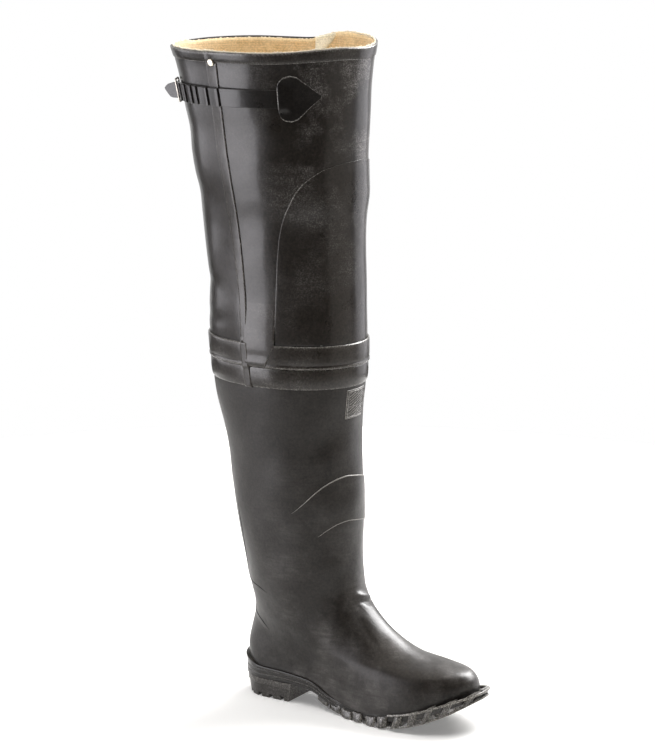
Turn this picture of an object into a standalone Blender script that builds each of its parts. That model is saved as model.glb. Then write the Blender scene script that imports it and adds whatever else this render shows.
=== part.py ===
"""Thigh-length rubber wading boot for the right foot, standing empty on its sole.

Lengths are in millimetres and are turned to metres when a mesh is made.
X runs from heel to toe and is measured from the back of the heel in the tables,
+Y is the inner side of the foot and Z is height above the floor.
The origin of the finished boot is the middle of the heel tread on the floor.
"""
import math
from collections import namedtuple

import bmesh
import bpy
import numpy as np

for old in list(bpy.data.objects):
    bpy.data.objects.remove(old, do_unlink=True)

MM = 0.001
FOOT_LENGTH = 318.0
HEEL_MIDDLE = 40.0
BOOT_HEIGHT = 777.0
KNEE_JOINT = 428.0
UPPER_WALL = 2.2
SHAFT_WALL = 1.6
FIT_GAP = 0.3
SEAT_GAP = 0.8
MERGE = 0.001

HEEL_ROUND = 38.0
TOE_ROUND = 72.0
TOE_LEAN = 6.0
END_POWER = 2.2
LEG_POWER = 2.2

COLLAR_PEAK = 7.0
COLLAR_PEAK_ANGLE = 312.0
COLLAR_PEAK_SPREAD = 20.0
COLLAR_PEAK_DEPTH = 70.0

# Stations along the sole, from heel back to toe tip.
# lateral and medial are half widths, tread is the line of the lug faces,
# seat is the top of the sole that carries the upper, plate is its thickness there,
# feather is the width of the upper's lower edge as a share of the sole's.
Station = namedtuple("Station", "x lateral medial tread seat plate feather")
SOLE = [
    Station(0, 37, 36, 24, 40, 16, 0.945),
    Station(38, 37, 36, 24, 38, 14, 0.945),
    Station(78, 37, 35, 24, 36, 12, 0.945),
    Station(110, 37, 29, 15, 31, 11, 0.950),
    Station(135, 40, 30, 4.5, 20, 9, 0.960),
    Station(165, 46, 37, 0, 13, 6.5, 0.975),
    Station(205, 52, 47, 0, 14, 7, 0.980),
    Station(235, 52, 50, 4, 19, 7.5, 0.980),
    Station(262, 49, 50, 12, 26.5, 7.5, 0.975),
    Station(290, 44, 49, 24, 37, 7, 0.965),
    Station(318, 38, 48, 40, 47, 5, 0.950),
]

# Rings of the foot, from the feather line up to the ankle. Each ring lies between a
# front point on the toe, vamp and shin line and a back point on the heel line.
# sole is the share of the sole outline in its plan, sag how far it follows the sole
# line, nose the roundness of its front.
Ring = namedtuple("Ring", "back_z back_x front_x front_z lateral medial sole sag nose")
FOOT = [
    Ring(40, 3.5, 307, 46, 46, 46, 1.00, 1.00, 2.0),
    Ring(50, 1.5, 306.5, 55, 46, 46, 0.95, 0.85, 2.3),
    Ring(60, 0.5, 303, 63.5, 47, 46, 0.80, 0.66, 2.5),
    Ring(69, 1.0, 295, 69.5, 46, 45, 0.60, 0.46, 2.5),
    Ring(78, 2.5, 278, 72.5, 45, 44, 0.40, 0.28, 2.0),
    Ring(87, 4.5, 250, 75.5, 45, 44, 0.22, 0.14, 1.55),
    Ring(97, 7.0, 221, 85, 46, 45, 0.08, 0.05, 1.4),
    Ring(108, 9.0, 193, 100.5, 48, 47, 0, 0, 1.45),
    Ring(120, 9.5, 171, 119, 50, 49, 0, 0, 1.6),
    Ring(135, 7.0, 156.5, 138, 53, 52, 0, 0, 1.85),
    Ring(155, 3.0, 150, 160, 56, 55, 0, 0, 2.1),
    Ring(180, -2, 147.5, 185, 58, 58, 0, 0, 2.2),
    Ring(208, -8, 147.5, 210, 60, 60, 0, 0, 2.2),
]

# Level rings of the leg and thigh, from above the ankle to the collar.
Level = namedtuple("Level", "z back front half")
LEG = [
    Level(240, -14, 147.5, 62),
    Level(270, -18.5, 147, 63.5),
    Level(300, -22, 145, 64.5),
    Level(330, -29, 143.5, 66.5),
    Level(360, -37, 145, 70),
    Level(385, -41, 147.5, 72.5),
    Level(410, -44, 149.5, 73.5),
    Level(428, -45, 149.5, 74),
    Level(456, -47.5, 149.2, 75),
    Level(500, -46.6, 147.7, 74.5),
    Level(542, -51, 146.7, 75.5),
    Level(584, -55, 147.7, 77.7),
    Level(612, -58, 150.3, 81),
    Level(630, -63, 149.5, 83),
    Level(655, -67, 148.8, 85),
    Level(682, -69, 150, 86.5),
    Level(709, -76, 151, 89),
    Level(737, -82, 151.8, 92),
    Level(764, -89, 155, 95.5),
    Level(777, -93.5, 157.5, 98),
]
RINGS = FOOT + [
    Ring(row.z, row.back, row.front, row.z, row.half, row.half, 0, 0, LEG_POWER)
    for row in LEG
]


def smooth(rows, place, name, at):
    """Cubic curve through the column `name`, with `place` as the column along it."""
    px = np.array([getattr(row, place) for row in rows], float)
    py = np.array([getattr(row, name) for row in rows], float)
    slope = np.gradient(py, px)
    at = np.clip(np.asarray(at, float), px[0], px[-1])
    i = np.clip(np.searchsorted(px, at, side="right") - 1, 0, len(px) - 2)
    step = px[i + 1] - px[i]
    t = (at - px[i]) / step
    h00 = 2 * t**3 - 3 * t**2 + 1
    h10 = t**3 - 2 * t**2 + t
    return (
        h00 * py[i]
        + h10 * step * slope[i]
        + (1 - h00) * py[i + 1]
        + (t**3 - t**2) * step * slope[i + 1]
    )


def half_sole(x, side):
    """Half width of the sole at x, lateral for side -1 and medial for side +1."""
    lateral = smooth(SOLE, "x", "lateral", x)
    medial = smooth(SOLE, "x", "medial", x)
    heel = np.clip((HEEL_ROUND - x) / HEEL_ROUND, 0, 1)
    toe = np.clip((x - FOOT_LENGTH + TOE_ROUND) / TOE_ROUND, 0, 1)
    ends = (1 - heel**END_POWER) ** (1 / END_POWER) * (1 - toe**END_POWER) ** (1 / END_POWER)
    return np.where(side < 0, lateral, medial) * ends


def toe_lean(x):
    """Sideways shift of the toe tip towards the inner side."""
    toe = np.clip((x - FOOT_LENGTH + TOE_ROUND) / TOE_ROUND, 0, 1)
    return TOE_LEAN * toe**2


def body(u, h):
    """Outer face of the boot at angle u (0 toe, pi heel) and back height h."""
    u = np.asarray(u, float)
    ring = {key: smooth(RINGS, "back_z", key, h) for key in Ring._fields}
    share = (1 + np.cos(u)) / 2
    side = np.where(np.sin(u) < 0, 1.0, -1.0)
    x = ring["back_x"] + (ring["front_x"] - ring["back_x"]) * share
    along = share * FOOT_LENGTH
    outline = half_sole(along, side) * smooth(SOLE, "x", "feather", along)
    width = np.where(side < 0, ring["lateral"], ring["medial"])
    power = np.where(share > 0.5, ring["nose"], LEG_POWER)
    oval = width * np.clip(1 - np.abs(np.cos(u)) ** power, 0, 1) ** 0.5
    sole = np.clip(ring["sole"], 0, 1)
    y = side * (sole * outline + (1 - sole) * oval) + sole * toe_lean(along)
    level = ring["back_z"] + (ring["front_z"] - ring["back_z"]) * share
    low = RINGS[0]
    first = low.back_z + (low.front_z - low.back_z) * share
    rest = smooth(SOLE, "x", "seat", low.back_x + (low.front_x - low.back_x) * share)
    z = level + ring["sag"] * (rest + SEAT_GAP - first)
    turn = (np.degrees(u) - COLLAR_PEAK_ANGLE + 180) % 360 - 180
    top = np.clip((h - BOOT_HEIGHT + COLLAR_PEAK_DEPTH) / COLLAR_PEAK_DEPTH, 0, 1)
    z = z + COLLAR_PEAK * np.exp(-((turn / COLLAR_PEAK_SPREAD) ** 2)) * top**2
    return np.stack([x, y, z + 0 * x], -1)


def skin(u, h, lift):
    """Point lifted off the outer face along its normal."""
    u, h = np.broadcast_arrays(np.asarray(u, float), np.asarray(h, float))
    along = body(u + 0.004, h) - body(u - 0.004, h)
    up = body(u, np.minimum(h + 1, BOOT_HEIGHT)) - body(u, h - 1)
    normal = np.cross(up, along)
    normal = normal / np.linalg.norm(normal, axis=-1, keepdims=True)
    return body(u, h) + normal * np.asarray(lift)[..., None]


def angle_at(x, z):
    """Lateral angle of the leg ring at height z whose point lies at x."""
    back = smooth(LEG, "z", "back", z)
    front = smooth(LEG, "z", "front", z)
    return np.arccos(np.clip(2 * (x - back) / (front - back) - 1, -1, 1))


boot = bpy.data.collections.new("wading_boot")
bpy.context.scene.collection.children.link(boot)
cutters = bpy.data.collections.new("cutters")
bpy.context.scene.collection.children.link(cutters)


def material(name, colour, roughness, metallic=0.0):
    mat = bpy.data.materials.new(name)
    mat.use_nodes = True
    shader = mat.node_tree.nodes["Principled BSDF"]
    shader.inputs["Base Color"].default_value = (*colour, 1.0)
    shader.inputs["Roughness"].default_value = roughness
    shader.inputs["Metallic"].default_value = metallic
    return mat


def solid(name, points, faces, mat, home=boot):
    """Mesh object from millimetre points, with its faces turned outward."""
    pts = (np.asarray(points, float) - (HEEL_MIDDLE, 0, 0)) * MM
    mesh = bpy.data.meshes.new(name)
    mesh.from_pydata([tuple(p) for p in pts], [], faces)
    bm = bmesh.new()
    bm.from_mesh(mesh)
    bmesh.ops.remove_doubles(bm, verts=bm.verts, dist=MERGE * MM)
    bmesh.ops.recalc_face_normals(bm, faces=bm.faces)
    bm.to_mesh(mesh)
    bm.free()
    obj = bpy.data.objects.new(name, mesh)
    home.objects.link(obj)
    if mat is not None:
        mesh.materials.append(mat)
    return obj


def loft(name, loops, mat, closed=False, home=boot):
    """Solid skinned over loops of equal count, capped at both ends unless closed."""
    count = len(loops[0])
    faces = []
    last = len(loops) if closed else len(loops) - 1
    for r in range(last):
        a = r * count
        b = ((r + 1) % len(loops)) * count
        for i in range(count):
            j = (i + 1) % count
            faces.append((a + i, a + j, b + j, b + i))
    if not closed:
        for base in (0, (len(loops) - 1) * count):
            faces.extend(ladder(base, count))
    return solid(name, np.concatenate(loops), faces, mat, home)


def ladder(base, count):
    """Cap of a loop as rungs between the two sides that mirror each other."""
    rungs = [(base, base + 1, base + count - 1)]
    for i in range(1, count // 2 - 1):
        rungs.append((base + i, base + i + 1, base + count - i - 1, base + count - i))
    half = count // 2
    rungs.append((base + half - 1, base + half, base + half + 1))
    return rungs


def shell(name, rows, mat, thickness, outward, ring=False):
    """Sheet through rows of points, given its thickness."""
    count = len(rows[0])
    faces = []
    for r in range(len(rows) - 1):
        for i in range(count if ring else count - 1):
            j = (i + 1) % count
            a = r * count
            b = a + count
            faces.append((a + i, b + i, b + j, a + j))
    obj = solid(name, np.concatenate(rows), faces, None)
    mesh = obj.data
    face = mesh.polygons[len(mesh.polygons) // 2]
    axis_x = (body(0.0, 300.0)[0] + body(math.pi, 300.0)[0]) / 2 - HEEL_MIDDLE
    out = face.center.copy()
    out.x -= axis_x * MM
    out.z = 0
    if face.normal.dot(out) < 0:
        mesh.flip_normals()
    mesh.materials.append(mat)
    wall = obj.modifiers.new("wall", "SOLIDIFY")
    wall.thickness = thickness * MM
    wall.offset = 1 if outward else -1
    wall.use_even_offset = True
    wall.use_quality_normals = True
    return obj


def boolean(obj, other, operation):
    cut = obj.modifiers.new(operation.lower(), "BOOLEAN")
    cut.operation = operation
    cut.object = other
    cut.solver = "EXACT"


def hide(obj):
    obj.hide_render = True
    obj.display_type = "WIRE"


RUBBER = material("boot_rubber", (0.030, 0.028, 0.027), 0.42)
THIGH_RUBBER = material("thigh_rubber", (0.032, 0.030, 0.029), 0.46)
TRIM_RUBBER = material("trim_rubber", (0.026, 0.024, 0.023), 0.40)
SOLE_RUBBER = material("sole_rubber", (0.022, 0.021, 0.020), 0.50)
STRAP_RUBBER = material("strap_rubber", (0.018, 0.017, 0.017), 0.36)
CANVAS = material("insole_canvas", (0.55, 0.42, 0.27), 0.90)
STEEL = material("buckle_steel", (0.42, 0.40, 0.37), 0.35, 1.0)
BRASS = material("rivet_brass", (0.72, 0.62, 0.42), 0.30, 1.0)

# Outsole: a curved plate from heel to toe whose side carries a raised lip and three
# ribs round heel and waist, with separate lugs standing below the forefoot.
# At the back of the heel the lip stands out as a low spur.
SOLE_COUNT = 52
LIP_OUT = 0.7
LIP_IN = 0.7
LIP_LOW = 0.5
LIP_BACK = 9.0
LIP_REACH = 34.0
SPUR_OUT = 1.8
SPUR_REACH = 24.0
RIB_OUT = 0.7
RIB_DEEP = 0.9
RIB_END = 150.0
RIB_FADE = 60.0
RIB_EDGES = [0.10, 0.16, 0.26, 0.32, 0.48, 0.54, 0.64, 0.70]


def sole_edge(out, turns=SOLE_COUNT):
    """Plan of the sole edge, moved outward by `out`."""
    u = np.linspace(0, 2 * math.pi, turns, endpoint=False)
    x = FOOT_LENGTH / 2 * (1 + np.cos(u))
    side = np.where(np.sin(u) < -1e-9, 1.0, -1.0)
    y = side * half_sole(x, side) + toe_lean(x)
    plan = np.stack([x, y], -1)
    run = np.roll(plan, -1, 0) - np.roll(plan, 1, 0)
    run = run / np.linalg.norm(run, axis=1, keepdims=True)
    return plan - np.stack([run[:, 1], -run[:, 0]], -1) * np.asarray(out)[..., None]


def sole_seat(x):
    return smooth(SOLE, "x", "seat", x)


def sole_under(x):
    return sole_seat(x) - smooth(SOLE, "x", "plate", x)


def sole_tread(x):
    return np.maximum(smooth(SOLE, "x", "tread", x), 0)


def sole_loop(out, z):
    plan = sole_edge(out)
    return np.column_stack([plan, z])


edge_x = sole_edge(0.0)[:, 0]
seat = sole_seat(edge_x)
under = sole_under(edge_x)
lip = LIP_LOW + LIP_BACK * np.clip(1 - edge_x / LIP_REACH, 0, 1) ** 1.5
spur = SPUR_OUT * np.clip(1 - edge_x / SPUR_REACH, 0, 1)
rib = np.clip(1 - (edge_x - RIB_END) / RIB_FADE, 0.15, 1)
loops = [
    sole_loop(np.full(SOLE_COUNT, -LIP_IN), seat),
    sole_loop(np.full(SOLE_COUNT, -LIP_IN), seat + lip),
    sole_loop(LIP_OUT + spur, seat + lip),
]
for number, part in enumerate(RIB_EDGES):
    raised = number in (0, 3, 4, 7)
    out = RIB_OUT * np.ones(SOLE_COUNT) if raised else RIB_OUT - (RIB_OUT + RIB_DEEP) * rib
    loops.append(sole_loop(out, seat + (under - seat) * part))
loops.append(sole_loop(np.full(SOLE_COUNT, RIB_OUT), under))
outsole = loft("outsole", loops, SOLE_RUBBER)

# Lugs of the forefoot: knobs along both edges that stand out past the plate and lean
# forward towards the toe, and bars between them, all cut level with the tread line.
LUG_FIRST = 120.0
LUG_PITCH = 18.0
LUG_LENGTH = 11.5
LUG_ROWS = 11
LUG_DEPTH = 17.0
LUG_OUT = 2.0
LUG_BELOW_SEAT = 1.6
LUG_MIDDLE = 1.0
LUG_LEAN = 6.0
LEAN_FROM = 200.0
LEAN_OVER = 60.0
BAR_SPLAY = 5.0
BAR_GAP = 4.0
BAR_ROOT = 2.0


def lug_plan(xs, side):
    """Plan of an edge lug over the stations xs: its rim past the sole edge, then its root."""
    bulge = np.array([0.6, 1.0, 0.6]) * LUG_OUT
    reach = half_sole(xs, np.full(len(xs), side)) + bulge
    rim = side * reach + toe_lean(xs)
    root = side * np.maximum(reach - LUG_DEPTH, LUG_MIDDLE) + toe_lean(xs)
    return np.array(list(zip(xs, rim)) + list(zip(xs[::-1], root[::-1])))


def bar_plan(x1):
    """Plan of a chevron bar between two rows of edge lugs."""
    reach_l = float(half_sole(np.array(x1), -1)) - LUG_DEPTH - BAR_GAP
    reach_m = float(half_sole(np.array(x1), 1)) - LUG_DEPTH - BAR_GAP
    shift = float(toe_lean(np.array(x1)))
    return np.array([
        (x1 - BAR_SPLAY, shift - reach_l),
        (x1, shift),
        (x1 - BAR_SPLAY, shift + reach_m),
        (x1 + LUG_LENGTH - BAR_SPLAY, shift + reach_m),
        (x1 + LUG_LENGTH, shift),
        (x1 + LUG_LENGTH - BAR_SPLAY, shift - reach_l),
    ])


def at_height(plan, height):
    return np.column_stack([plan, height(plan[:, 0])])


def lug_top(x):
    return sole_seat(x) - LUG_BELOW_SEAT


def bar_top(x):
    return sole_under(x) + BAR_ROOT


lug_blocks = []
for row in range(LUG_ROWS):
    x0 = LUG_FIRST + row * LUG_PITCH
    xs = np.array([x0, x0 + LUG_LENGTH / 2, x0 + LUG_LENGTH])
    lean = LUG_LEAN * np.clip((x0 - LEAN_FROM) / LEAN_OVER, 0, 1)
    for side in (-1, 1):
        foot = at_height(lug_plan(xs, side), sole_tread)
        head = at_height(lug_plan(xs + lean, side), lug_top)
        lug_blocks.append((foot, head))
    if row < LUG_ROWS - 1:
        plan = bar_plan(x0 + LUG_PITCH / 2)
        lug_blocks.append((at_height(plan, sole_tread), at_height(plan, bar_top)))
lug_points = []
lug_faces = []
for foot, head in lug_blocks:
    base = sum(len(p) for p in lug_points)
    n = len(foot)
    lug_points.extend([foot, head])
    lug_faces.append(tuple(base + i for i in range(n)))
    lug_faces.append(tuple(base + n + i for i in range(n)))
    for i in range(n):
        j = (i + 1) % n
        lug_faces.append((base + i, base + j, base + n + j, base + n + i))
lugs = solid("forefoot_lugs", np.concatenate(lug_points), lug_faces, SOLE_RUBBER, cutters)
hide(lugs)
boolean(outsole, lugs, "UNION")

# Heel: a block under the back of the plate, narrowing to its tread, with a proud top
# lift and cross grooves.
HEEL_LENGTH = 78.0
HEEL_POINTS = 11
HEEL_TOP_LIFT = 17.0
HEEL_TAPER = 4.0
HEEL_LIFT_STEP = 0.9
BREAST_SLOPE = 5.0
GROOVES = [16.0, 32.0, 48.0, 64.0]
GROOVE_WIDTH = 5.0
GROOVE_DEPTH = 5.0
heel_top = sole_under(0.0) - FIT_GAP


def heel_loop(inset, z, breast):
    t = np.linspace(0, math.pi / 2, HEEL_POINTS)
    x = breast - (breast - inset) * np.sin(t)
    reach = (x - inset) / (breast - inset) * HEEL_LENGTH
    lateral = -(half_sole(reach, np.full_like(x, -1)) - inset * 0.6)
    medial = half_sole(reach, np.full_like(x, 1)) - inset * 0.6
    lateral[-1] = 0
    outer = np.column_stack([x, np.minimum(lateral, 0)])
    inner = np.column_stack([x[:-1], np.maximum(medial[:-1], 0)])[::-1]
    plan = np.concatenate([outer, inner])
    return np.column_stack([plan, np.full(len(plan), z)])


heel_loops = [
    heel_loop(0.2, float(heel_top), HEEL_LENGTH),
    heel_loop(0.4, HEEL_TOP_LIFT, HEEL_LENGTH - 1),
    heel_loop(0.4 + HEEL_LIFT_STEP, HEEL_TOP_LIFT - 0.6, HEEL_LENGTH - 1.5),
    heel_loop(HEEL_TAPER, 0.0, HEEL_LENGTH - BREAST_SLOPE),
]
count = len(heel_loops[0])
heel_faces = []
for r in range(len(heel_loops) - 1):
    for i in range(count):
        j = (i + 1) % count
        a = r * count
        b = a + count
        heel_faces.append((a + i, a + j, b + j, b + i))
heel_faces.append(tuple(range(count)))
heel_faces.append(tuple(range((len(heel_loops) - 1) * count, len(heel_loops) * count)))
heel = solid("heel", np.concatenate(heel_loops), heel_faces, SOLE_RUBBER)
for number, x in enumerate(GROOVES):
    bpy.ops.mesh.primitive_cube_add(size=1, location=((x - HEEL_MIDDLE) * MM, 0, 0))
    groove = bpy.context.object
    groove.name = "heel_groove_%d" % (number + 1)
    groove.scale = (GROOVE_WIDTH * MM, 120 * MM, 2 * GROOVE_DEPTH * MM)
    for home in list(groove.users_collection):
        home.objects.unlink(groove)
    cutters.objects.link(groove)
    hide(groove)
    boolean(heel, groove, "DIFFERENCE")

# Upper: the foot and leg in one hollow wall, from the feather line to the knee joint.
LEG_COUNT = 44
UPPER_ROWS = [40, 50, 60, 69, 78, 87, 97, 108, 120, 135, 155, 180, 208, 240, 270, 330, 360,
              410, KNEE_JOINT]
around = np.linspace(0, 2 * math.pi, LEG_COUNT, endpoint=False)
upper = shell("upper", [body(around, h) for h in UPPER_ROWS], RUBBER, UPPER_WALL, False, True)

# Thigh shaft: a thinner tube that butts on the upper under the knee band.
SHAFT_ROWS = [KNEE_JOINT + FIT_GAP] + [row.z for row in LEG if row.z > KNEE_JOINT]
shaft = shell("thigh_shaft", [body(around, h) for h in SHAFT_ROWS], THIGH_RUBBER,
              SHAFT_WALL, False, True)

# Insole: a flat bed on the plate, inside the wall of the upper.
INSOLE_THICK = 3.5
INSOLE_INSET = 3.4
u = np.linspace(0, 2 * math.pi, SOLE_COUNT, endpoint=False)
feather = body(u, 40.0)
run = np.roll(feather, -1, 0) - np.roll(feather, 1, 0)
run = run[:, :2] / np.linalg.norm(run[:, :2], axis=1, keepdims=True)
bed = feather[:, :2] + np.stack([run[:, 1], -run[:, 0]], -1) * INSOLE_INSET
bed_low = np.column_stack([bed, sole_seat(bed[:, 0]) + FIT_GAP])
bed_high = np.column_stack([bed, sole_seat(bed[:, 0]) + FIT_GAP + INSOLE_THICK])
insole = loft("insole", [bed_low, bed_high], CANVAS)

# Knee bands: two rubber straps cemented round the joint, the upper one thicker.
Edge = namedtuple("Edge", "height lift")
KNEE_BAND = [
    Edge(416.0, 0.3), Edge(416.8, 2.8), Edge(442.2, 2.8), Edge(443.0, 0.3),
]
LOWER_BAND = [
    Edge(392.0, 0.4), Edge(392.7, 1.6), Edge(414.9, 1.6), Edge(415.6, 0.4),
]
COLLAR_BINDING = [
    Edge(765.5, 0.3), Edge(766.2, 1.7), Edge(776.3, 1.7), Edge(777.0, 0.3),
]


def sleeve(name, profile, mat):
    """Band round the leg, its section given by heights and lifts off the outer face."""
    u = np.linspace(0, 2 * math.pi, LEG_COUNT, endpoint=False)
    rings = [skin(u, row.height, np.full_like(u, row.lift)) for row in profile]
    return loft(name, rings, mat, closed=True)


knee_band = sleeve("knee_band", KNEE_BAND, TRIM_RUBBER)
lower_band = sleeve("lower_knee_band", LOWER_BAND, TRIM_RUBBER)
binding = sleeve("collar_binding", COLLAR_BINDING, TRIM_RUBBER)

# Thigh panel: a second layer over the front of the thigh, arched at its top.
# reach is the angle from the front to its edge on both sides.
Reach = namedtuple("Reach", "z reach")
THIGH_PANEL = [
    Reach(443.6, 73), Reach(456, 72.5), Reach(500, 71.4), Reach(542, 68.6),
    Reach(570, 66.2), Reach(584, 64.2), Reach(598, 61.3), Reach(612, 57.3),
    Reach(621, 53.6), Reach(630, 48.8), Reach(638, 42.5), Reach(645.7, 34),
    Reach(651, 22), Reach(653, 11),
]
PANEL_LIFT = 0.5
PANEL_THICK = 0.9
facet = np.degrees(2 * math.pi / LEG_COUNT)
columns = np.arange(9, -10, -1) * facet
panel_rows = []
for row in THIGH_PANEL:
    u = np.radians(np.clip(columns, -row.reach, row.reach))
    panel_rows.append(skin(u, row.z, np.full_like(u, PANEL_LIFT)))
thigh_panel = shell("thigh_panel", panel_rows, THIGH_RUBBER, PANEL_THICK, True)

# Side seam strip: a narrow tape down the outer side from the binding, over both bands.
Tape = namedtuple("Tape", "z middle width")
SEAM_TAPE = [
    Tape(391, 46, 9), Tape(414, 43.2, 9), Tape(455, 39.8, 9), Tape(492, 38.5, 9.5),
    Tape(528, 35, 11), Tape(570, 30.2, 13), Tape(602, 26.7, 13.5), Tape(637, 22, 14),
    Tape(677, 16.8, 15), Tape(766, 11.5, 15),
]
TAPE_THICK = 1.0
Step = namedtuple("Step", "z lift")
TAPE_STEPS = [
    Step(391.6, 1.8), Step(402, 1.8), Step(413.0, 1.8), Step(415.2, 3.1), Step(428, 3.1),
    Step(443.8, 3.1), Step(447.0, 0.4),
] + [Step(row.z, 0.4) for row in LEG if 450 < row.z < 760] + [Step(765.1, 0.4)]


def bar(points_low, points_high):
    """Four corners of a strip's section: inner low, outer low, outer high, inner high."""
    return np.array([points_low[0], points_low[1], points_high[1], points_high[0]])


tape_loops = []
for step in TAPE_STEPS:
    middle = smooth(SEAM_TAPE, "z", "middle", step.z)
    width = smooth(SEAM_TAPE, "z", "width", step.z)
    edges = []
    for x in (middle - width / 2, middle + width / 2):
        u = angle_at(x, step.z)
        edges.append((skin(u, step.z, step.lift), skin(u, step.z, step.lift + TAPE_THICK)))
    tape_loops.append(bar(*edges))
seam_tape = loft("side_seam_tape", tape_loops, TRIM_RUBBER)

# Strap tab: a spade-shaped patch that anchors the strap on the outer side.
Spade = namedtuple("Spade", "angle low high")
STRAP_TAB = [
    Spade(60.5, 713, 739), Spade(59.5, 705.5, 746), Spade(57, 702, 750.5),
    Spade(53, 701.3, 752.5), Spade(49, 704, 751), Spade(45, 710.5, 745.5),
    Spade(41, 718, 739.8), Spade(37, 723.3, 734.6), Spade(33.2, 728.5, 729.9),
]
TAB_LIFT = 0.4
TAB_THICK = 1.0
tab_loops = []
for row in STRAP_TAB:
    u = math.radians(row.angle)
    tab_loops.append(bar(
        (skin(u, row.low, TAB_LIFT), skin(u, row.low, TAB_LIFT + TAB_THICK)),
        (skin(u, row.high, TAB_LIFT), skin(u, row.high, TAB_LIFT + TAB_THICK)),
    ))
strap_tab = loft("strap_tab", tab_loops, STRAP_RUBBER)

# Strap: a rubber tape from the tab back to the buckle, with raised stop blocks, whose
# pointed end passes the buckle bar and stands out from the leg. It leaves the tab thin and
# close to the leg and rises to pass over the side seam.
STRAP_LEVEL = 726.6
STRAP_HALF = 10.3
STRAP_LIFT = 1.9
STRAP_THICK = 2.0
STRAP_START_LIFT = 0.4
STRAP_START_THICK = 1.2
STRAP_RISE_FROM = 68.0
STRAP_RISE_TO = 90.0
STRAP_PLAIN = [61.0, 68.0, 75.0, 82.0, 90.0, 95.2]
BLOCK_GAPS = [96.0, 104.5, 113.5, 119.0, 126.5, 135.0, 142.0]
BLOCK_HALF_GAP = 0.8
BLOCK_RAMP = 0.25
BLOCK_FRONT = 2.0
BLOCK_BACK = 1.2
BEND_ANGLE = 147.0
BEND_RADIUS = 4.0
Tip = namedtuple("Tip", "run half drop")
STRAP_TIP = [Tip(1.5, 9.5, 0), Tip(9, 8.6, 0), Tip(13, 7.6, 0.5), Tip(18.5, 1.2, 3.5)]

strap_stations = [(angle, 0.0) for angle in STRAP_PLAIN]
for front, back in zip(BLOCK_GAPS[:-1], BLOCK_GAPS[1:]):
    strap_stations += [
        (front + BLOCK_HALF_GAP, 0.0),
        (front + BLOCK_HALF_GAP + BLOCK_RAMP, BLOCK_FRONT),
        (back - BLOCK_HALF_GAP - BLOCK_RAMP, BLOCK_BACK),
        (back - BLOCK_HALF_GAP, 0.0),
    ]
strap_stations += [(BEND_ANGLE - 2.5, 0.0), (BEND_ANGLE, 0.0)]
strap_loops = []
for angle, raise_by in strap_stations:
    u = math.radians(angle)
    low = STRAP_LEVEL - STRAP_HALF
    high = STRAP_LEVEL + STRAP_HALF
    risen = np.clip((angle - STRAP_RISE_FROM) / (STRAP_RISE_TO - STRAP_RISE_FROM), 0, 1)
    inner = STRAP_START_LIFT + (STRAP_LIFT - STRAP_START_LIFT) * risen
    thick = STRAP_START_THICK + (STRAP_THICK - STRAP_START_THICK) * risen
    outer = inner + thick + raise_by
    strap_loops.append(bar(
        (skin(u, low, inner), skin(u, low, outer)),
        (skin(u, high, inner), skin(u, high, outer)),
    ))


def leg_axes(angle, height):
    """Tangent round the leg, upward line and outward normal at an angle and height."""
    u = math.radians(angle)
    tangent = body(u + 0.004, height) - body(u - 0.004, height)
    tangent = tangent / np.linalg.norm(tangent)
    upward = body(u, height + STRAP_HALF) - body(u, height - STRAP_HALF)
    upward = upward / np.linalg.norm(upward)
    return tangent, upward, np.cross(upward, tangent)


tangent, upward, outward = leg_axes(BEND_ANGLE, STRAP_LEVEL)
bend_start = skin(math.radians(BEND_ANGLE), STRAP_LEVEL, STRAP_LIFT + STRAP_THICK / 2)


def strap_end(turn, run, half, drop):
    """Section of the strap after the bend, `run` past it, turned from the leg."""
    centre = (
        bend_start
        + tangent * (BEND_RADIUS * math.sin(turn) + run * math.cos(turn))
        + outward * (BEND_RADIUS * (1 - math.cos(turn)) + run * math.sin(turn))
        + upward * drop
    )
    thick = (outward * math.cos(turn) - tangent * math.sin(turn)) * STRAP_THICK / 2
    rise = upward * half
    return bar((centre - thick - rise, centre + thick - rise),
               (centre - thick + rise, centre + thick + rise))


for turn in (25, 50, 75):
    strap_loops.append(strap_end(math.radians(turn), 0, STRAP_HALF - turn * 0.01, 0))
for row in STRAP_TIP:
    strap_loops.append(strap_end(math.radians(84), row.run, row.half, row.drop))
strap = loft("strap", strap_loops, STRAP_RUBBER)

# Buckle: a bent wire frame; its front bar lies over the strap and its back bar on the leg.
WIRE_RADIUS = 1.15
BUCKLE_HALF = 12.9
BUCKLE_FRONT = 145.2
BUCKLE_BACK = 153.5
BUCKLE_FRONT_LIFT = 5.3
BUCKLE_BACK_LIFT = 2.0
BUCKLE_CORNER = 2.0
frame_path = []
for angle, lift, end in ((BUCKLE_FRONT, BUCKLE_FRONT_LIFT, 1), (BUCKLE_BACK, BUCKLE_BACK_LIFT, -1)):
    for level in (BUCKLE_HALF * end, -BUCKLE_HALF * end):
        frame_path.append(skin(math.radians(angle), STRAP_LEVEL + level, lift))
frame_path = [frame_path[1], frame_path[0], frame_path[3], frame_path[2]]
rounded_path = []
for i, corner in enumerate(frame_path):
    for other in (frame_path[i - 1], frame_path[(i + 1) % 4]):
        run = (other - corner) / np.linalg.norm(other - corner)
        rounded_path.append(corner + run * BUCKLE_CORNER)
wire = bpy.data.curves.new("buckle_frame", "CURVE")
wire.dimensions = "3D"
wire.bevel_depth = WIRE_RADIUS * MM
wire.bevel_resolution = 1
wire.use_fill_caps = True
spline = wire.splines.new("POLY")
spline.points.add(len(rounded_path) - 1)
for knot, place in zip(spline.points, rounded_path):
    knot.co = (*((place - (HEEL_MIDDLE, 0, 0)) * MM), 1.0)
spline.use_cyclic_u = True
buckle = bpy.data.objects.new("buckle_frame", wire)
wire.materials.append(STEEL)
boot.objects.link(buckle)

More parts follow.
